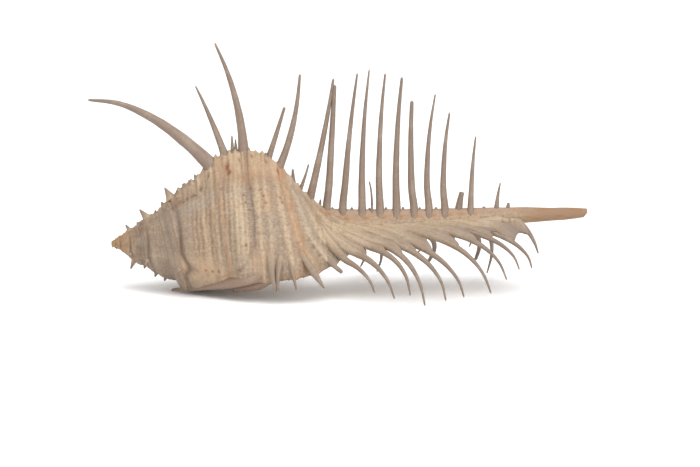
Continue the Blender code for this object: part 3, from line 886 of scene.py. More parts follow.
@dataclass
class SpineRow:
    """A comb of spines, bent and tapered copies of one blank."""

    axis: CoilingAxis
    name: str = "spine"
    sides: int = 16
    steps: int = 30
    # Groove along the front: depth as a share, and half width; then the flutes and the root's flare
    groove: float = 0.16
    groove_width: float = 0.42
    flute: float = 0.03
    flutes: float = 8.0
    flare_reach: float = 1.8
    unevenness: float = 0.045

    def spines(self) -> tuple[Spine, ...]:
        """The spines of this row."""
        return ()

    def blank(self) -> bpy.types.Object:
        """Make the straight blank that every spine starts from.

        Returns:
            A globe with its poles at the two ends of the spine.
        """
        deselect_all()
        bpy.ops.mesh.primitive_uv_sphere_add(segments=self.sides, ring_count=self.steps, radius=1.0)
        return newest(self.name)

    def build(self) -> list[bpy.types.Object]:
        """Bend one copy of the blank for each spine.

        Returns:
            The finished spines.
        """
        blank = self.blank()
        globe = read_points(blank)
        along = np.arccos(np.clip(-globe[:, 2], -1.0, 1.0)) / math.pi
        around = np.arctan2(globe[:, 1], globe[:, 0])
        made = []
        for number, spine in enumerate(self.spines()):
            obj = blank.copy()
            obj.data = blank.data.copy()
            obj.name = f"{self.name}_{number + 1:02d}"
            bpy.context.scene.collection.objects.link(obj)
            write_points(obj, self.bend(spine, along, around, number))
            own = np.full_like(along, float(number) * 7.3)
            for name, values in (("along", along), ("around", around / math.pi), ("own", own)):
                write_attribute(obj, name, values)
            face_outwards(obj)
            made.append(obj)
        bpy.data.objects.remove(blank)
        return made

    def bend(self, spine: Spine, along: Array, around: Array, number: int) -> Array:
        """Lay the blank along a spine's bow.

        Args:
            spine: The spine to shape.
            along: Share of the length at each vertex, 0 at the root.
            around: Angle round the blank in radians.
            number: Place in the row, which seeds the small unevenness.

        Returns:
            Points in mm.
        """
        share = np.clip((along - 0.02) / 0.96, 0.0, 1.0)
        centre, tangent = follow(spine.points, share)
        side = unit(self.axis.along()[None, :] - tangent * (tangent @ self.axis.along())[:, None])
        length = float(np.linalg.norm(np.array(spine.points[-1]) - np.array(spine.points[0])))
        past = np.clip((share - spine.peak) / (1.0 - spine.peak), 0.0, 1.0)
        taper = spine.tip_wide + (spine.wide - spine.tip_wide) * (1.0 - past) ** spine.taper
        rising = spine.root_wide + (1.0 - spine.root_wide) * smooth_step(0.0, max(spine.peak, 0.01), share)
        taper = taper * np.where(share < spine.peak, rising, 1.0)
        flare = 1.0 + spine.flare * np.exp(-share * length / self.flare_reach)
        uneven = Grain.SWELLING.read(share * length, np.full_like(share, number * 3.7))
        swell = 1.0 + self.unevenness * uneven
        half_wide = 0.5 * taper * flare * swell
        half_through = 0.5 * taper * (spine.flatness + (1.0 - spine.flatness) * past) * swell
        end = np.minimum(1.0, np.sin(math.pi * np.clip(along, 0.0, 1.0)) * 9.0)
        end = np.where(along > 0.5, np.sqrt(np.clip(end, 0.0, 1.0)), end)
        cosine, sine = np.cos(around), np.sin(around)
        in_groove = np.exp(-(cosine / self.groove_width) ** 2) * np.clip(sine, 0.0, 1.0)
        dent = self.groove * in_groove * (1.0 - 0.6 * share)
        flutes = self.flute * np.cos(around * self.flutes) * (1.0 - share)
        scale = (1.0 - dent + flutes) * end
        points = centre + side * (half_wide * cosine * scale)[:, None]
        return points + np.cross(tangent, side) * (half_through * sine * scale)[:, None]


class Ink(Enum):
    """Colours in linear RGB. Each tint has the ink of its name."""

    CREAM = (0.445, 0.330, 0.212)
    # Painted shade in the grooves between cords; also the darker threads and grain
    GROOVE = (0.190, 0.125, 0.080)
    ORANGE = (0.345, 0.180, 0.088)
    PALE = (0.440, 0.375, 0.300)
    TAN = (0.440, 0.300, 0.185)
    GREY = (0.255, 0.203, 0.160)
    SPOT = (0.170, 0.055, 0.022)
    OCHRE = (0.315, 0.165, 0.062)
    # Painted shade in the sutures and a pit, and the darker canal end and early whorl bands
    DARK = (0.120, 0.075, 0.050)
    ROSE = (0.310, 0.205, 0.145)
    SPINE = (0.252, 0.184, 0.140)
    SPINE_GREY = (0.155, 0.121, 0.099)
    FOLD = (0.290, 0.190, 0.135)
    MOUTH = (0.560, 0.450, 0.350)


@dataclass
class NodeBuilder:
    """Short ways to add shader nodes to one material."""

    material: bpy.types.Material

    def add(self, kind: str, **settings: object) -> bpy.types.ShaderNode:
        """Add a node and set its properties.

        Args:
            kind: The node's type.
            settings: Properties by name.

        Returns:
            The new node.
        """
        node = self.material.node_tree.nodes.new(kind)
        for key, value in settings.items():
            setattr(node, key, value)
        return node

    def join(self, source: bpy.types.NodeSocket, target: bpy.types.NodeSocket) -> None:
        """Link two sockets."""
        self.material.node_tree.links.new(source, target)

    def number(self, name: str) -> bpy.types.NodeSocket:
        """Read one of the piece's own numbers."""
        return self.add("ShaderNodeAttribute", attribute_name=name).outputs["Fac"]

    def combine(self, *parts: bpy.types.NodeSocket) -> bpy.types.NodeSocket:
        """Make a vector from up to three numbers."""
        node = self.add("ShaderNodeCombineXYZ")
        for part, socket in zip(parts, node.inputs):
            self.join(part, socket)
        return node.outputs["Vector"]

    def scaled(self, vector: bpy.types.NodeSocket, scale: Point) -> bpy.types.NodeSocket:
        """Multiply a vector part by part."""
        node = self.add("ShaderNodeVectorMath", operation="MULTIPLY")
        self.join(vector, node.inputs[0])
        node.inputs[1].default_value = scale
        return node.outputs["Vector"]

    def place(self) -> bpy.types.NodeSocket:
        """The place on the piece, in metres."""
        return self.add("ShaderNodeTexCoord").outputs["Object"]

    def noise(self, vector: bpy.types.NodeSocket, scale: float, detail: float = 4.0) -> bpy.types.NodeSocket:
        """Cloudy noise.

        Args:
            vector: Where to read it.
            scale: How fine it is.
            detail: Octaves.

        Returns:
            A number round 0.5.
        """
        node = self.add("ShaderNodeTexNoise")
        self.join(vector, node.inputs["Vector"])
        node.inputs["Scale"].default_value = scale
        node.inputs["Detail"].default_value = detail
        return node.outputs["Fac"]

    def remap(self, value: bpy.types.NodeSocket, low: float, high: float, start: float = 0.0,
              end: float = 1.0) -> bpy.types.NodeSocket:
        """Map a number from one range to another, clamped."""
        node = self.add("ShaderNodeMapRange", clamp=True)
        self.join(value, node.inputs["Value"])
        for name, number in zip(("From Min", "From Max", "To Min", "To Max"), (low, high, start, end)):
            node.inputs[name].default_value = number
        return node.outputs["Result"]

    def times(self, first: bpy.types.NodeSocket, second: bpy.types.NodeSocket) -> bpy.types.NodeSocket:
        """Multiply two numbers."""
        node = self.add("ShaderNodeMath", operation="MULTIPLY")
        self.join(first, node.inputs[0])
        self.join(second, node.inputs[1])
        return node.outputs["Value"]

    def mix(self, share: bpy.types.NodeSocket, under: bpy.types.NodeSocket | Ink,
            over: bpy.types.NodeSocket | Ink) -> bpy.types.NodeSocket:
        """Lay one colour over another.

        Args:
            share: How much of the upper colour shows.
            under: The lower colour.
            over: The upper colour.

        Returns:
            The mixed colour.
        """
        node = self.add("ShaderNodeMix", data_type="RGBA")
        self.join(share, node.inputs["Factor"])
        for colour, socket in ((under, node.inputs[6]), (over, node.inputs[7])):
            if isinstance(colour, Ink):
                socket.default_value = (*colour.value, 1.0)
            else:
                self.join(colour, socket)
        return node.outputs[2]

    def bumps(self, height: bpy.types.NodeSocket, distance: float, strength: float,
              under: bpy.types.NodeSocket | None = None) -> bpy.types.NodeSocket:
        """Turn a height into a tilt of the surface.

        Args:
            height: The height.
            distance: Height of a full step, in metres.
            strength: How much of it to use.
            under: Another tilt to add to.

        Returns:
            The tilted normal.
        """
        node = self.add("ShaderNodeBump")
        node.inputs["Distance"].default_value = distance
        node.inputs["Strength"].default_value = strength
        self.join(height, node.inputs["Height"])
        if under is not None:
            self.join(under, node.inputs["Normal"])
        return node.outputs["Normal"]

    def finish(self, colour: bpy.types.NodeSocket, normal: bpy.types.NodeSocket, roughness: float) -> None:
        """Set the material's surface.

        Args:
            colour: Base colour.
            normal: Tilted normal.
            roughness: Roughness from 0 to 1.
        """
        shader = self.material.node_tree.nodes["Principled BSDF"]
        self.join(colour, shader.inputs["Base Color"])
        self.join(normal, shader.inputs["Normal"])
        shader.inputs["Roughness"].default_value = roughness
        shader.inputs["Specular IOR Level"].default_value = 0.35
        shader.inputs["Subsurface Weight"].default_value = 0.06
        shader.inputs["Subsurface Scale"].default_value = 0.0015


@dataclass(frozen=True)
class Finish:
    """A procedural surface."""

    name: str
    roughness: float

    def paint(self, nodes: NodeBuilder) -> tuple[bpy.types.NodeSocket, bpy.types.NodeSocket]:
        """Colour and tilt of the surface, from new nodes."""
        raise NotImplementedError

    def material(self) -> bpy.types.Material:
        """Make the material.

        Returns:
            The material.
        """
        material = bpy.data.materials.new(self.name)
        material.use_nodes = True
        nodes = NodeBuilder(material)
        nodes.finish(*self.paint(nodes), self.roughness)
        return material


@dataclass(frozen=True)
class WhorlFinish(Finish):
    """Cream shell, with painted shade that makes it greyer in the grooves, banded and spotted."""

    name: str = "whorl shell"
    roughness: float = 0.55

    def paint(self, nodes: NodeBuilder) -> tuple[bpy.types.NodeSocket, bpy.types.NodeSocket]:
        """Lay clouds, streaks and threads over the cream, and the tints over them.

        Args:
            nodes: Where to add nodes.

        Returns:
            Colour and tilt.
        """
        place = nodes.place()
        around = nodes.combine(*(nodes.number(name) for name in ("station", "angle", "turn")))
        cloud = nodes.noise(place, 160.0, 5.0)
        streaks = nodes.noise(nodes.scaled(around, (0.35, 0.9, 5.0)), 1.0, 4.0)
        threads = nodes.noise(nodes.scaled(around, (5.0, 0.05, 5.0)), 1.0, 3.0)
        grain = nodes.noise(place, 1500.0, 3.0)
        # Painted shade: places low in relief, in the grooves between cords, take the darker GROOVE ink
        colour = nodes.mix(nodes.remap(nodes.number("relief"), 0.0, 0.75), Ink.GROOVE, Ink.CREAM)
        for source, low, high, most, ink in (
            (cloud, 0.45, 0.65, 0.5, Ink.GREY), (streaks, 0.5, 0.75, 0.35, Ink.PALE),
            (threads, 0.5, 0.7, 0.3, Ink.GROOVE), (grain, 0.5, 0.68, 0.5, Ink.GROOVE),
            (grain, 0.48, 0.34, 0.35, Ink.PALE),
        ):
            colour = nodes.mix(nodes.remap(source, low, high, 0.0, most), colour, ink)
        for tint in Tint:
            colour = nodes.mix(nodes.number(tint.value), colour, Ink[tint.name])
        tilt = nodes.bumps(nodes.noise(place, 900.0, 4.0), 0.0002, 0.6)
        return colour, nodes.bumps(threads, 0.0002, 0.35, tilt)


@dataclass(frozen=True)
class SpineFinish(Finish):
    """Pinkish grey-tan spine with fine lengthwise lines and a greyer tip."""

    name: str = "spine shell"
    roughness: float = 0.5
    # Share of the length over which the body's cream turns to the spine's own colour
    rosy_by: float = 0.12
    ink: Ink = Ink.SPINE

    def paint(self, nodes: NodeBuilder) -> tuple[bpy.types.NodeSocket, bpy.types.NodeSocket]:
        """Turn the body's cream to the spine's ink, and lay lines and grain over it.

        Args:
            nodes: Where to add nodes.

        Returns:
            Colour and tilt.
        """
        place = nodes.place()
        own = nodes.combine(*(nodes.number(name) for name in ("around", "along", "own")))
        lines = nodes.noise(nodes.scaled(own, (9.0, 1.2, 1.0)), 1.0, 3.0)
        cloud = nodes.noise(place, 220.0, 4.0)
        grain = nodes.noise(place, 1500.0, 3.0)
        along = nodes.number("along")
        own_share = nodes.remap(along, 0.0, self.rosy_by, 0.3, 1.0)
        colour = nodes.mix(nodes.remap(along, 0.02, self.rosy_by), Ink.CREAM, self.ink)
        for share, ink in (
            (nodes.remap(along, 0.35, 1.0, 0.0, 0.5), Ink.SPINE_GREY),
            (nodes.times(nodes.remap(lines, 0.45, 0.7, 0.0, 0.45), own_share), Ink.SPINE_GREY),
            (nodes.remap(cloud, 0.5, 0.75, 0.0, 0.35), Ink.PALE),
            (nodes.remap(grain, 0.5, 0.68, 0.0, 0.4), Ink.GROOVE),
        ):
            colour = nodes.mix(share, colour, ink)
        tilt = nodes.bumps(nodes.noise(place, 1200.0, 3.0), 0.0002, 0.5)
        return colour, nodes.bumps(lines, 0.00025, 0.5, tilt)


@dataclass
class CrestRow(SpineRow):
    """Upper comb: points are (x, z), in the plane y = 0, then widths at root and tip."""

    name: str = "crest_spine"
    table: tuple[tuple, ...] = (
        ((-29.5, 29.5), (-47.3, 44.3), (-63.0, 48.6), 4.0, 0.6),
        ((-27.8, 32.5), (-31.7, 43.0), (-35.8, 52.2), 2.1, 0.4),
        ((-26.4, 32.5), (-26.6, 36.5), (-26.7, 39.6), 1.5, 0.3),
        ((-25.4, 32.5), (-25.7, 36.0), (-25.8, 38.6), 1.5, 0.3),
        ((-23.6, 32.5), (-25.6, 48.3), (-30.9, 63.1), 2.7, 0.5),
        ((-18.4, 31.0), (-15.8, 39.0), (-13.4, 46.8), 1.7, 0.7),
        ((-15.9, 29.0), (-11.6, 41.0), (-9.5, 55.2), 2.2, 0.6),
        ((-11.2, 26.0), (-11.3, 28.6), (-11.4, 31.0), 1.4, 0.5),
        ((-10.2, 24.0), (-8.4, 28.8), (-7.4, 32.3), 1.1, 0.4),
        ((-7.9, 20.0), (-3.9, 37.9), (-1.1, 54.1), 2.2, 0.6),
        ((-4.7, 18.5), (-4.6, 21.0), (-4.4, 23.3), 1.3, 0.4),
        ((-2.9, 17.0), (-1.8, 35.0), (-0.8, 52.5), 2.2, 1.0),
        ((1.2, 17.5), (2.6, 36.5), (4.9, 55.5), 2.2, 0.5),
        ((6.1, 17.5), (6.3, 37.5), (7.9, 56.5), 2.2, 0.4),
        ((8.6, 18.0), (8.5, 24.0), (7.9, 27.9), 0.8, 0.4),
        ((10.6, 17.5), (10.5, 36.8), (11.9, 55.5), 2.2, 0.5),
        ((14.8, 17.5), (14.8, 36.5), (16.1, 54.5), 2.2, 0.7),
        ((19.2, 17.5), (18.4, 33.0), (18.6, 48.5), 2.2, 0.9),
        ((23.0, 17.5), (22.6, 34.0), (24.5, 50.2), 2.1, 0.4),
        ((27.0, 17.5), (26.7, 32.0), (28.1, 45.5), 2.2, 0.5),
        ((30.2, 17.5), (30.6, 21.5), (31.3, 25.2), 2.2, 1.2),
        ((33.5, 18.0), (33.8, 29.0), (34.7, 39.4), 1.9, 0.4),
        ((39.9, 18.5), (40.3, 23.5), (41.0, 27.6), 1.5, 0.3),
        ((42.6, 19.5), (42.9, 21.0), (43.1, 22.4), 1.4, 0.6),
    )
    flare: float = 0.45
    # Where tall spines have a foot on the canal's front; then how far ahead of and above each root it runs
    canal_part: tuple[float, float] = (-6.0, 36.0)
    least_rise: float = 8.5
    feet: Profile = ((-0.3, -1.5), (-1.15, 0.4), (-0.95, 1.9), (-0.35, 3.6))

    def spines(self) -> tuple[Spine, ...]:
        """The upper comb's spines."""
        made = []
        for root, middle, tip, wide, narrow in self.table:
            points = bow((root[0], 0.0, root[1]), (middle[0], 0.0, middle[1]), (tip[0], 0.0, tip[1]))
            first, last = self.canal_part
            if first < root[0] < last and tip[1] - root[1] > self.least_rise:
                feet = tuple((root[0], ahead, root[1] + rise) for ahead, rise in self.feet)
                points = feet + points[1:]
            made.append(Spine(points, wide, narrow, flare=self.flare, taper=0.95))
        return tuple(made)


@dataclass
class LipRow(SpineRow):
    """Forward comb on the canal: its folds start high on the canal and run down into spines."""

    name: str = "lip_spine"
    # Root, middle, tip, full width, tip width
    table: tuple[tuple, ...] = (
        ((-1.8, -8.0, 11.0), (5.8, -16.0, 7.9), (9.2, -20.0, 2.9), 2.3, 0.4),
        ((0.3, -6.5, 12.0), (9.4, -17.0, 9.4), (14.1, -22.0, 1.8), 2.5, 0.4),
        ((3.0, -4.5, 13.0), (13.9, -15.5, 10.7), (18.0, -21.0, 2.4), 2.5, 0.4),
        ((5.0, -3.0, 14.0), (16.6, -16.5, 11.0), (21.6, -24.0, 0.4), 2.6, 0.4),
        ((7.5, -2.5, 15.0), (21.6, -15.5, 10.4), (26.8, -22.0, 1.3), 2.6, 0.4),
        ((12.0, -2.5, 15.5), (25.8, -15.5, 10.3), (31.3, -22.0, 2.2), 2.6, 0.4),
        ((15.5, -2.0, 16.0), (30.7, -15.0, 12.9), (38.0, -22.0, 3.2), 2.6, 0.4),
        ((20.5, -2.0, 16.5), (35.3, -13.5, 14.1), (42.0, -19.0, 6.0), 2.5, 0.4),
        ((25.5, -1.5, 17.0), (39.6, -11.5, 14.4), (45.2, -17.0, 8.2), 2.4, 0.4),
        ((32.0, -1.5, 17.5), (44.1, -10.0, 13.8), (48.4, -15.0, 8.2), 2.3, 0.4),
        ((43.0, -1.0, 18.6), (47.5, -6.5, 16.4), (50.2, -10.0, 11.1), 2.3, 0.4),
    )
    lead: float = 12.5
    lead_angles: tuple[float, float] = (68.0, 100.0)
    lead_rises: tuple[float, float] = (-0.9, 1.5)
    leads: tuple[float, ...] = (0.5, 0.7, 0.85, 1.0, 1.0, 1.0, 1.0, 1.0, 0.95, 0.8, 0.4)
    side: float = 1.0
    sculpture: Sculpture = Sculpture()

    def on_canal(self, station: float, angle: float, rise: float) -> Point:
        """A point near the canal's skin, on this row's side.

        Args:
            station: Station in mm.
            angle: Angle from the crest in degrees.
            rise: Height over the skin in mm.

        Returns:
            The point in mm.
        """
        turned = angle * self.side
        skin = float(self.sculpture.sample(np.array([station]), np.array([turned])).radius[0])
        return tuple(self.axis.place(np.array(station), np.array(skin + rise), np.array(turned)))

    def spines(self) -> tuple[Spine, ...]:
        """The folds and their spines."""
        made = []
        for number, (root, middle, tip, wide, narrow) in enumerate(self.table):
            body = bow(root, middle, tip, (0.2, 0.4, 0.6, 0.8, 1.0))
            first = self.axis.station_of(body[0])
            length = self.lead * self.leads[number]
            start = self.on_canal(first - length, self.lead_angles[0], self.lead_rises[0])
            near = self.on_canal(first - 0.45 * length, self.lead_angles[1], self.lead_rises[1])
            points = (start, near) + body
            made.append(Spine(points, wide, narrow, root_wide=0.5, peak=0.3, taper=1.1, flatness=0.75))
        return tuple(made)


@dataclass
class RearRow(LipRow):
    """The comb behind the canal, which bends down more steeply."""

    name: str = "rear_spine"
    table: tuple[tuple, ...] = (
        ((-1.5, 7.0, 11.5), (6.2, 16.0, 8.2), (5.7, 20.5, 2.0), 2.3, 0.4),
        ((1.5, 5.5, 12.5), (10.2, 17.0, 8.6), (10.0, 22.0, 0.4), 2.4, 0.4),
        ((4.0, 4.0, 13.5), (10.6, 14.0, 10.6), (13.8, 18.6, 6.4), 2.4, 0.4),
        ((9.0, 2.5, 14.5), (21.2, 16.5, 10.6), (20.4, 22.0, 5.4), 2.4, 0.4),
        ((12.0, 2.5, 15.0), (23.6, 15.5, 10.8), (23.3, 21.5, 3.1), 2.5, 0.9),
        ((15.5, 2.0, 15.5), (24.8, 12.5, 13.0), (27.8, 16.0, 10.0), 2.4, 0.4),
        ((18.5, 2.0, 16.0), (27.4, 12.5, 13.0), (30.0, 16.0, 9.4), 2.4, 0.4),
        ((22.5, 2.0, 16.5), (32.6, 13.5, 12.4), (33.8, 18.5, 7.6), 2.4, 0.4),
        ((26.0, 1.5, 17.0), (35.2, 14.0, 12.0), (35.5, 20.0, 3.9), 2.4, 0.9),
        ((29.5, 1.5, 17.5), (38.6, 13.5, 12.0), (38.5, 19.6, 0.4), 2.3, 0.4),
        ((34.5, 1.5, 18.0), (41.4, 10.0, 14.0), (43.6, 14.5, 10.0), 2.2, 0.4),
        ((40.0, 1.0, 18.5), (44.8, 6.5, 16.2), (47.0, 9.5, 13.0), 2.1, 0.4),
    )
    side: float = -1.0
    leads: tuple[float, ...] = (0.5, 0.7, 0.85, 1.0, 1.0, 1.0, 1.0, 1.0, 0.95, 0.85, 0.7, 0.5)


@dataclass
class Web:
    """Fluted sheet that joins the roots of one comb's folds to the canal. Sizes in mm."""

    row: LipRow
    name: str
    columns: int = 120
    rows: int = 40
    # Share of each fold's length that the sheet covers
    reaches: tuple[float, ...] = (0.5, 0.53, 0.56, 0.6, 0.58, 0.58, 0.62, 0.64, 0.64, 0.68, 0.72)
    # Share of that cover by which the sheet's edge draws back halfway between two folds
    scallops: tuple[float, ...] = (0.26, 0.26, 0.26, 0.26, 0.26, 0.26, 0.26, 0.26, 0.22, 0.1, 0.05)
    sunk: float = 0.5
    dip: float = 0.75
    ripple: float = 0.1
    thickness: float = 0.7

    def build(self) -> bpy.types.Object:
        """Make the sheet.

        Returns:
            The finished sheet, closed and solid.
        """
        deselect_all()
        bpy.ops.mesh.primitive_grid_add(x_subdivisions=self.columns, y_subdivisions=self.rows, size=2.0)
        obj = newest(self.name)
        grid = read_points(obj)
        spines = self.row.spines()
        shares = np.linspace(0.0, 1.0, 81)
        paths = np.array([follow(spine.points, shares)[0] for spine in spines])
        across = (grid[:, 0] + 1.0) / 2.0 * (len(spines) - 1)
        between = np.sin(math.pi * across) ** 2
        reach = np.interp(across, np.arange(len(self.reaches)), self.reaches)
        scallop = np.interp(across, np.arange(len(self.scallops)), self.scallops)
        down = (grid[:, 1] + 1.0) / 2.0
        along = down * reach * (1.0 - scallop * between)
        points = self.between_paths(paths, across, along)
        base = np.array(self.row.axis.apex)
        ahead = self.row.axis.along()
        out = points - base
        out = unit(out - (out @ ahead)[:, None] * ahead)
        depth = self.sunk + self.dip * (0.5 + down) * between - self.ripple * np.cos(math.tau * 3.0 * across)
        write_points(obj, points - out * depth[:, None])
        # Painted shade: in the hollows between the folds, more so lower down, the sheet takes more of the
        # spines' darker, greyer colours
        write_attribute(obj, "along", along + 0.22 * between * down)
        write_attribute(obj, "around", across * 0.8)
        write_attribute(obj, "own", np.full_like(along, 3.1))
        pick(obj)
        solid = obj.modifiers.new("thickness", "SOLIDIFY")
        solid.thickness = self.thickness * MM
        bpy.ops.object.modifier_apply(modifier=solid.name)
        face_outwards(obj)
        return obj

    def between_paths(self, paths: Array, across: Array, along: Array) -> Array:
        """Places between neighbouring folds.

        Args:
            paths: Points along each fold at even shares.
            across: Number of the fold, whole on a fold and in parts between two.
            along: Share of the fold's length.

        Returns:
            One place for each pair of numbers.
        """
        first = np.clip(np.floor(across).astype(int), 0, len(paths) - 2)
        step = along * (paths.shape[1] - 1)
        lower = np.clip(np.floor(step).astype(int), 0, paths.shape[1] - 2)
        share = (step - lower)[:, None]
        side = (across - first)[:, None]
        near = paths[first, lower] * (1.0 - share) + paths[first, lower + 1] * share
        far = paths[first + 1, lower] * (1.0 - share) + paths[first + 1, lower + 1] * share
        return near * (1.0 - side) + far * side


@dataclass
class WhorlSpines(SpineRow):
    """Spines of the body whorl: ribs of the lip that end in points, the long fold, and the rear ones."""

    name: str = "whorl_spine"
    # Points, full width, tip width, share of the width at the root, share where it is widest
    table: tuple[tuple, ...] = (
        (((-17.4, -16.6, 19.0), (-16.7, -18.4, 12.5),
          (-16.2, -19.7, 7.2), (-15.3, -20.4, 3.3)), 1.9, 0.6, 0.1, 0.6),
        (((-14.2, -16.3, 19.0), (-14.3, -18.2, 12.5),
          (-14.8, -19.6, 7.4), (-14.9, -20.6, 3.6)), 1.6, 0.5, 0.1, 0.6),
        (((-13.2, -15.8, 19.0), (-12.0, -17.8, 12.2),
          (-11.0, -19.3, 7.2), (-10.2, -20.4, 3.9)), 1.7, 0.4, 0.1, 0.6),
        (((-11.8, -14.2, 20.0), (-9.4, -16.6, 13.0),
          (-6.2, -18.5, 8.3), (-3.3, -20.8, 4.3)), 1.9, 0.4, 0.1, 0.75),
        (((-10.6, -11.2, 20.0), (-6.6, -12.5, 14.2),
          (-2.6, -13.5, 10.2), (1.2, -14.6, 7.1)), 1.8, 0.9, 0.1, 0.65),
        (((-32.0, 9.0, 8.5), (-34.4, 15.0, 6.6), (-37.2, 20.0, 3.8), (-40.0, 23.6, 0.4)), 2.8, 0.4, 1.0, 0.0),
        (((-27.0, 9.5, 8.5), (-28.0, 15.5, 6.2), (-29.2, 20.0, 3.4), (-30.0, 23.0, 0.6)), 2.0, 0.4, 1.0, 0.0),
        (((-22.5, 9.5, 8.5), (-22.4, 15.5, 6.2), (-22.8, 20.0, 3.2), (-23.0, 23.1, 0.4)), 2.4, 0.4, 1.0, 0.0),
        (((-19.0, 8.0, 10.0), (-18.5, 14.5, 7.0),
          (-18.0, 19.0, 3.8), (-17.8, 22.4, 0.7)), 1.8, 0.4, 1.0, 0.0),
        (((-16.0, 5.0, 11.0), (-14.8, 12.5, 8.4),
          (-13.4, 18.6, 4.4), (-12.5, 21.5, 0.8)), 2.2, 0.4, 1.0, 0.0),
        (((-13.8, 4.0, 12.0), (-11.8, 11.5, 9.2), (-9.8, 18.0, 4.9), (-8.2, 21.4, 0.8)), 1.9, 0.4, 1.0, 0.0),
        (((-11.5, 3.0, 13.0), (-8.6, 10.6, 9.8), (-5.8, 17.4, 5.2), (-4.0, 21.0, 0.9)), 2.2, 0.4, 1.0, 0.0),
    )

    def spines(self) -> tuple[Spine, ...]:
        """The body whorl's spines."""
        return tuple(
            Spine(points, wide, narrow, root_wide=root, peak=peak, taper=1.1, flare=0.25 * (peak == 0.0))
            for points, wide, narrow, root, peak in self.table
        )


@dataclass
class LongFold(WhorlSpines):
    """The lip's long fold that ends in the lowest point on the left, and the callus behind it."""

    name: str = "long_fold"
    table: tuple[tuple, ...] = (
        (((-14.4, -17.7, 8.7), (-20.5, -17.4, 6.5), (-27.5, -13.6, 4.1), (-36.0, -7.3, 1.8),
          (-42.2, -3.0, 0.55)), 3.1, 0.7, 0.6, 0.3),
        (((-15.5, -16.4, 6.2), (-18.6, -15.2, 4.8),
          (-22.0, -13.4, 3.5), (-26.0, -11.4, 2.4)), 3.2, 1.6, 0.5, 0.45),
    )


@dataclass
class SkinSpikes(SpineRow):
    """Small spikes and knobs of the varices, set by station, angle, reach, lean and width."""

    name: str = "spike"
    sides: int = 10
    steps: int = 12
    groove: float = 0.0
    sculpture: Sculpture = Sculpture()
    table: tuple[tuple[float, float, float, float, float], ...] = (
        (17.0, 0.0, 2.4, -1.6, 2.4), (10.6, 0.0, 1.8, -2.0, 2.0), (6.0, 0.0, 1.0, -1.2, 1.2),
        (18.6, 117.0, 1.4, -1.0, 1.4), (10.6, 120.0, 1.6, -1.2, 1.4), (6.2, 120.0, 1.1, -0.8, 1.0),
        (22.0, -120.0, 3.2, -1.6, 2.0), (12.6, -120.0, 2.4, -1.2, 1.6), (7.4, -120.0, 1.3, -0.9, 1.2),
        (6.6, 172.0, 1.8, -1.4, 1.4), (12.0, 174.0, 0.8, -0.8, 1.4), (9.2, 170.0, 0.6, -0.5, 1.1),
        (14.2, 170.0, 0.7, -0.6, 1.2), (8.2, 6.0, 0.5, -0.4, 1.0), (13.0, 4.0, 0.7, -0.4, 1.2),
        (14.8, 2.0, 0.8, -0.4, 1.2), (18.9, 6.0, 0.9, -0.5, 1.3), (20.6, 4.0, 1.1, -0.5, 1.3),
        (22.2, 3.0, 1.0, -0.5, 1.3), (23.8, 2.0, 1.1, -0.6, 1.3), (16.2, 16.0, 1.0, -0.8, 1.4),
        (17.9, 18.0, 0.8, -0.6, 1.3), (19.7, 18.0, 0.8, -0.5, 1.3), (21.5, 17.0, 0.8, -0.5, 1.3),
        (23.3, 15.0, 0.7, -0.4, 1.2), (25.1, 13.0, 0.7, -0.4, 1.2), (28.6, 6.0, 0.6, -0.3, 1.2),
        (33.4, 2.0, 0.8, -0.2, 1.4), (35.3, 1.0, 1.0, -0.2, 1.4), (37.2, 1.0, 0.9, 0.2, 1.5),
        (41.4, 2.0, 0.8, 0.2, 1.3), (47.6, 0.0, 0.8, 0.3, 1.2), (51.0, 0.0, 0.7, 0.4, 1.1),
        (57.3, 0.0, 0.5, 0.0, 1.3), (62.2, 0.0, 0.6, 0.0, 1.5), (66.6, 0.0, 0.5, 0.0, 1.2),
        (70.8, 0.0, 0.6, 0.0, 1.4), (75.1, 0.0, 0.6, 0.0, 1.3), (79.3, 0.0, 0.5, 0.0, 1.2),
        (83.4, 0.0, 0.5, 0.0, 1.3), (95.5, 0.0, 0.4, 0.0, 1.6),
        (43.6, 115.5, 0.5, 0.3, 1.2), (45.3, 115.0, 0.6, 0.3, 1.1), (47.2, 115.0, 0.5, 0.3, 1.2),
        (49.0, 115.5, 0.6, 0.3, 1.1), (50.8, 116.0, 0.5, 0.3, 1.2), (52.4, 117.0, 0.6, 0.3, 1.0),
    )
    sink: float = 0.9

    def spines(self) -> tuple[Spine, ...]:
        """The small spikes."""
        made = []
        for station, angle, reach, lean, width in self.table:
            skin = float(self.sculpture.sample(np.array([station]), np.array([float(angle)])).radius[0])
            foot = self.axis.place(np.array(station), np.array(skin - self.sink), np.array(angle))
            tip = self.axis.place(np.array(station + lean), np.array(skin + reach), np.array(angle))
            points = (tuple(foot), tuple(0.5 * (foot + tip)), tuple(tip))
            made.append(Spine(points, width, 0.3, taper=1.0, flare=0.5))
        return tuple(made)


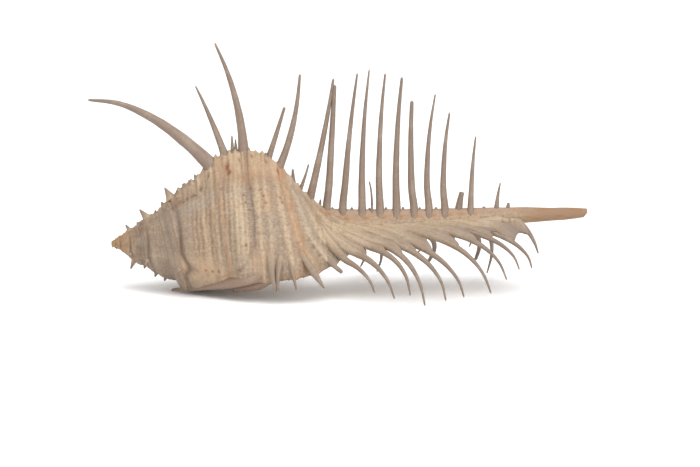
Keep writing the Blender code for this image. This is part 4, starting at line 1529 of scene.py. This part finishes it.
@dataclass
class Studio:
    """Camera at the photograph's angle, floor and soft lights. Sizes in metres."""

    target: Point = (0.00304, 0.0, 0.0145)
    elevation: float = 10.0
    view_width: float = 0.1771
    lens: float = 180.0
    sensor: float = 36.0
    floor_size: float = 6.0

    def build(self) -> None:
        """Make everything in the studio."""
        self.camera()
        self.floor()
        self.lights()

    def camera(self) -> None:
        """Put the camera where the photograph was taken from."""
        data = bpy.data.cameras.new("camera")
        data.lens = self.lens
        data.sensor_width = self.sensor
        distance = self.view_width * self.lens / self.sensor
        lift = math.radians(self.elevation)
        back = Vector((0.0, -math.cos(lift), math.sin(lift)))
        obj = bpy.data.objects.new("camera", data)
        obj.location = Vector(self.target) + back * distance
        obj.rotation_euler = (-back).to_track_quat("-Z", "Y").to_euler()
        data.clip_start = 0.01
        data.clip_end = 20.0
        bpy.context.scene.collection.objects.link(obj)
        bpy.context.scene.camera = obj

    def floor(self) -> None:
        """Lay the pale table under the shell."""
        deselect_all()
        bpy.ops.mesh.primitive_plane_add(size=self.floor_size, location=(0.0, 0.0, 0.0))
        floor = bpy.context.object
        floor.name = "table_top"
        material = bpy.data.materials.new("white table")
        material.use_nodes = True
        shader = material.node_tree.nodes["Principled BSDF"]
        shader.inputs["Base Color"].default_value = (0.97, 0.97, 0.97, 1.0)
        shader.inputs["Roughness"].default_value = 0.9
        floor.data.materials.append(material)

    def light(self, name: str, place: Point, size: float, power: float) -> None:
        """Hang one square soft light that faces the shell.

        Args:
            name: The light's name.
            place: Where it hangs, in metres.
            size: Side of the square, in metres.
            power: Power in watts.
        """
        data = bpy.data.lights.new(name, "AREA")
        data.size = size
        data.energy = power
        obj = bpy.data.objects.new(name, data)
        obj.location = place
        facing = Vector(self.target) - Vector(place)
        obj.rotation_euler = facing.to_track_quat("-Z", "Y").to_euler()
        bpy.context.scene.collection.objects.link(obj)

    def lights(self) -> None:
        """Soft light from above, both sides and all round."""
        self.light("overhead", (0.05, -0.35, 0.9), 0.8, 6.5)
        self.light("front left", (-0.7, -0.8, 0.45), 0.7, 1.2)
        self.light("front right", (0.8, -0.7, 0.4), 0.6, 4.4)
        self.light("behind", (-0.1, 0.9, 0.5), 0.8, 2.2)
        world = bpy.data.worlds.new("white room")
        world.use_nodes = True
        world.node_tree.nodes["Background"].inputs["Color"].default_value = (1.0, 1.0, 1.0, 1.0)
        world.node_tree.nodes["Background"].inputs["Strength"].default_value = 0.75
        bpy.context.scene.world = world
        bpy.context.scene.view_settings.view_transform = "Standard"


def adopt(piece: bpy.types.Object, material: bpy.types.Material) -> None:
    """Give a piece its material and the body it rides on.

    Args:
        piece: The piece.
        material: Its material.
    """
    piece.data.materials.append(material)
    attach(piece, BODY)


def main() -> None:
    """Build the shell, its finishes and the studio."""
    logging.basicConfig(level=logging.INFO, format="%(name)s: %(message)s")
    axis = CoilingAxis()
    whorls = ShellBody(axis, Sculpture()).build()
    adopt(whorls, WhorlFinish().material())
    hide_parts(NODE)
    LOG.info("body: %d faces", len(whorls.data.polygons))
    tall = SpineFinish().material()
    folded = SpineFinish("fold shell", rosy_by=0.75).material()
    # The whorl's spines keep the body's cream along their whole length: partly their own colour, partly
    # painted light against the shade on the ribs' downward faces
    ribbed = SpineFinish("rib shell", rosy_by=1.0).material()
    long = SpineFinish("long fold shell", rosy_by=0.04, ink=Ink.FOLD).material()
    rows = (
        (CrestRow(axis), tall), (LipRow(axis), folded), (RearRow(axis), folded),
        (WhorlSpines(axis), ribbed), (SkinSpikes(axis), folded), (LongFold(axis), long),
    )
    for row, material in rows:
        made = row.build()
        for piece in made:
            adopt(piece, material)
        LOG.info("%ss: %d", row.name, len(made))
    for web in (Web(LipRow(axis), "lip_web"), Web(RearRow(axis), "rear_web")):
        sheet = web.build()
        adopt(sheet, folded)
        LOG.info("%s: %d faces", sheet.name, len(sheet.data.polygons))
    Studio().build()


if __name__ == "__main__":
    main()
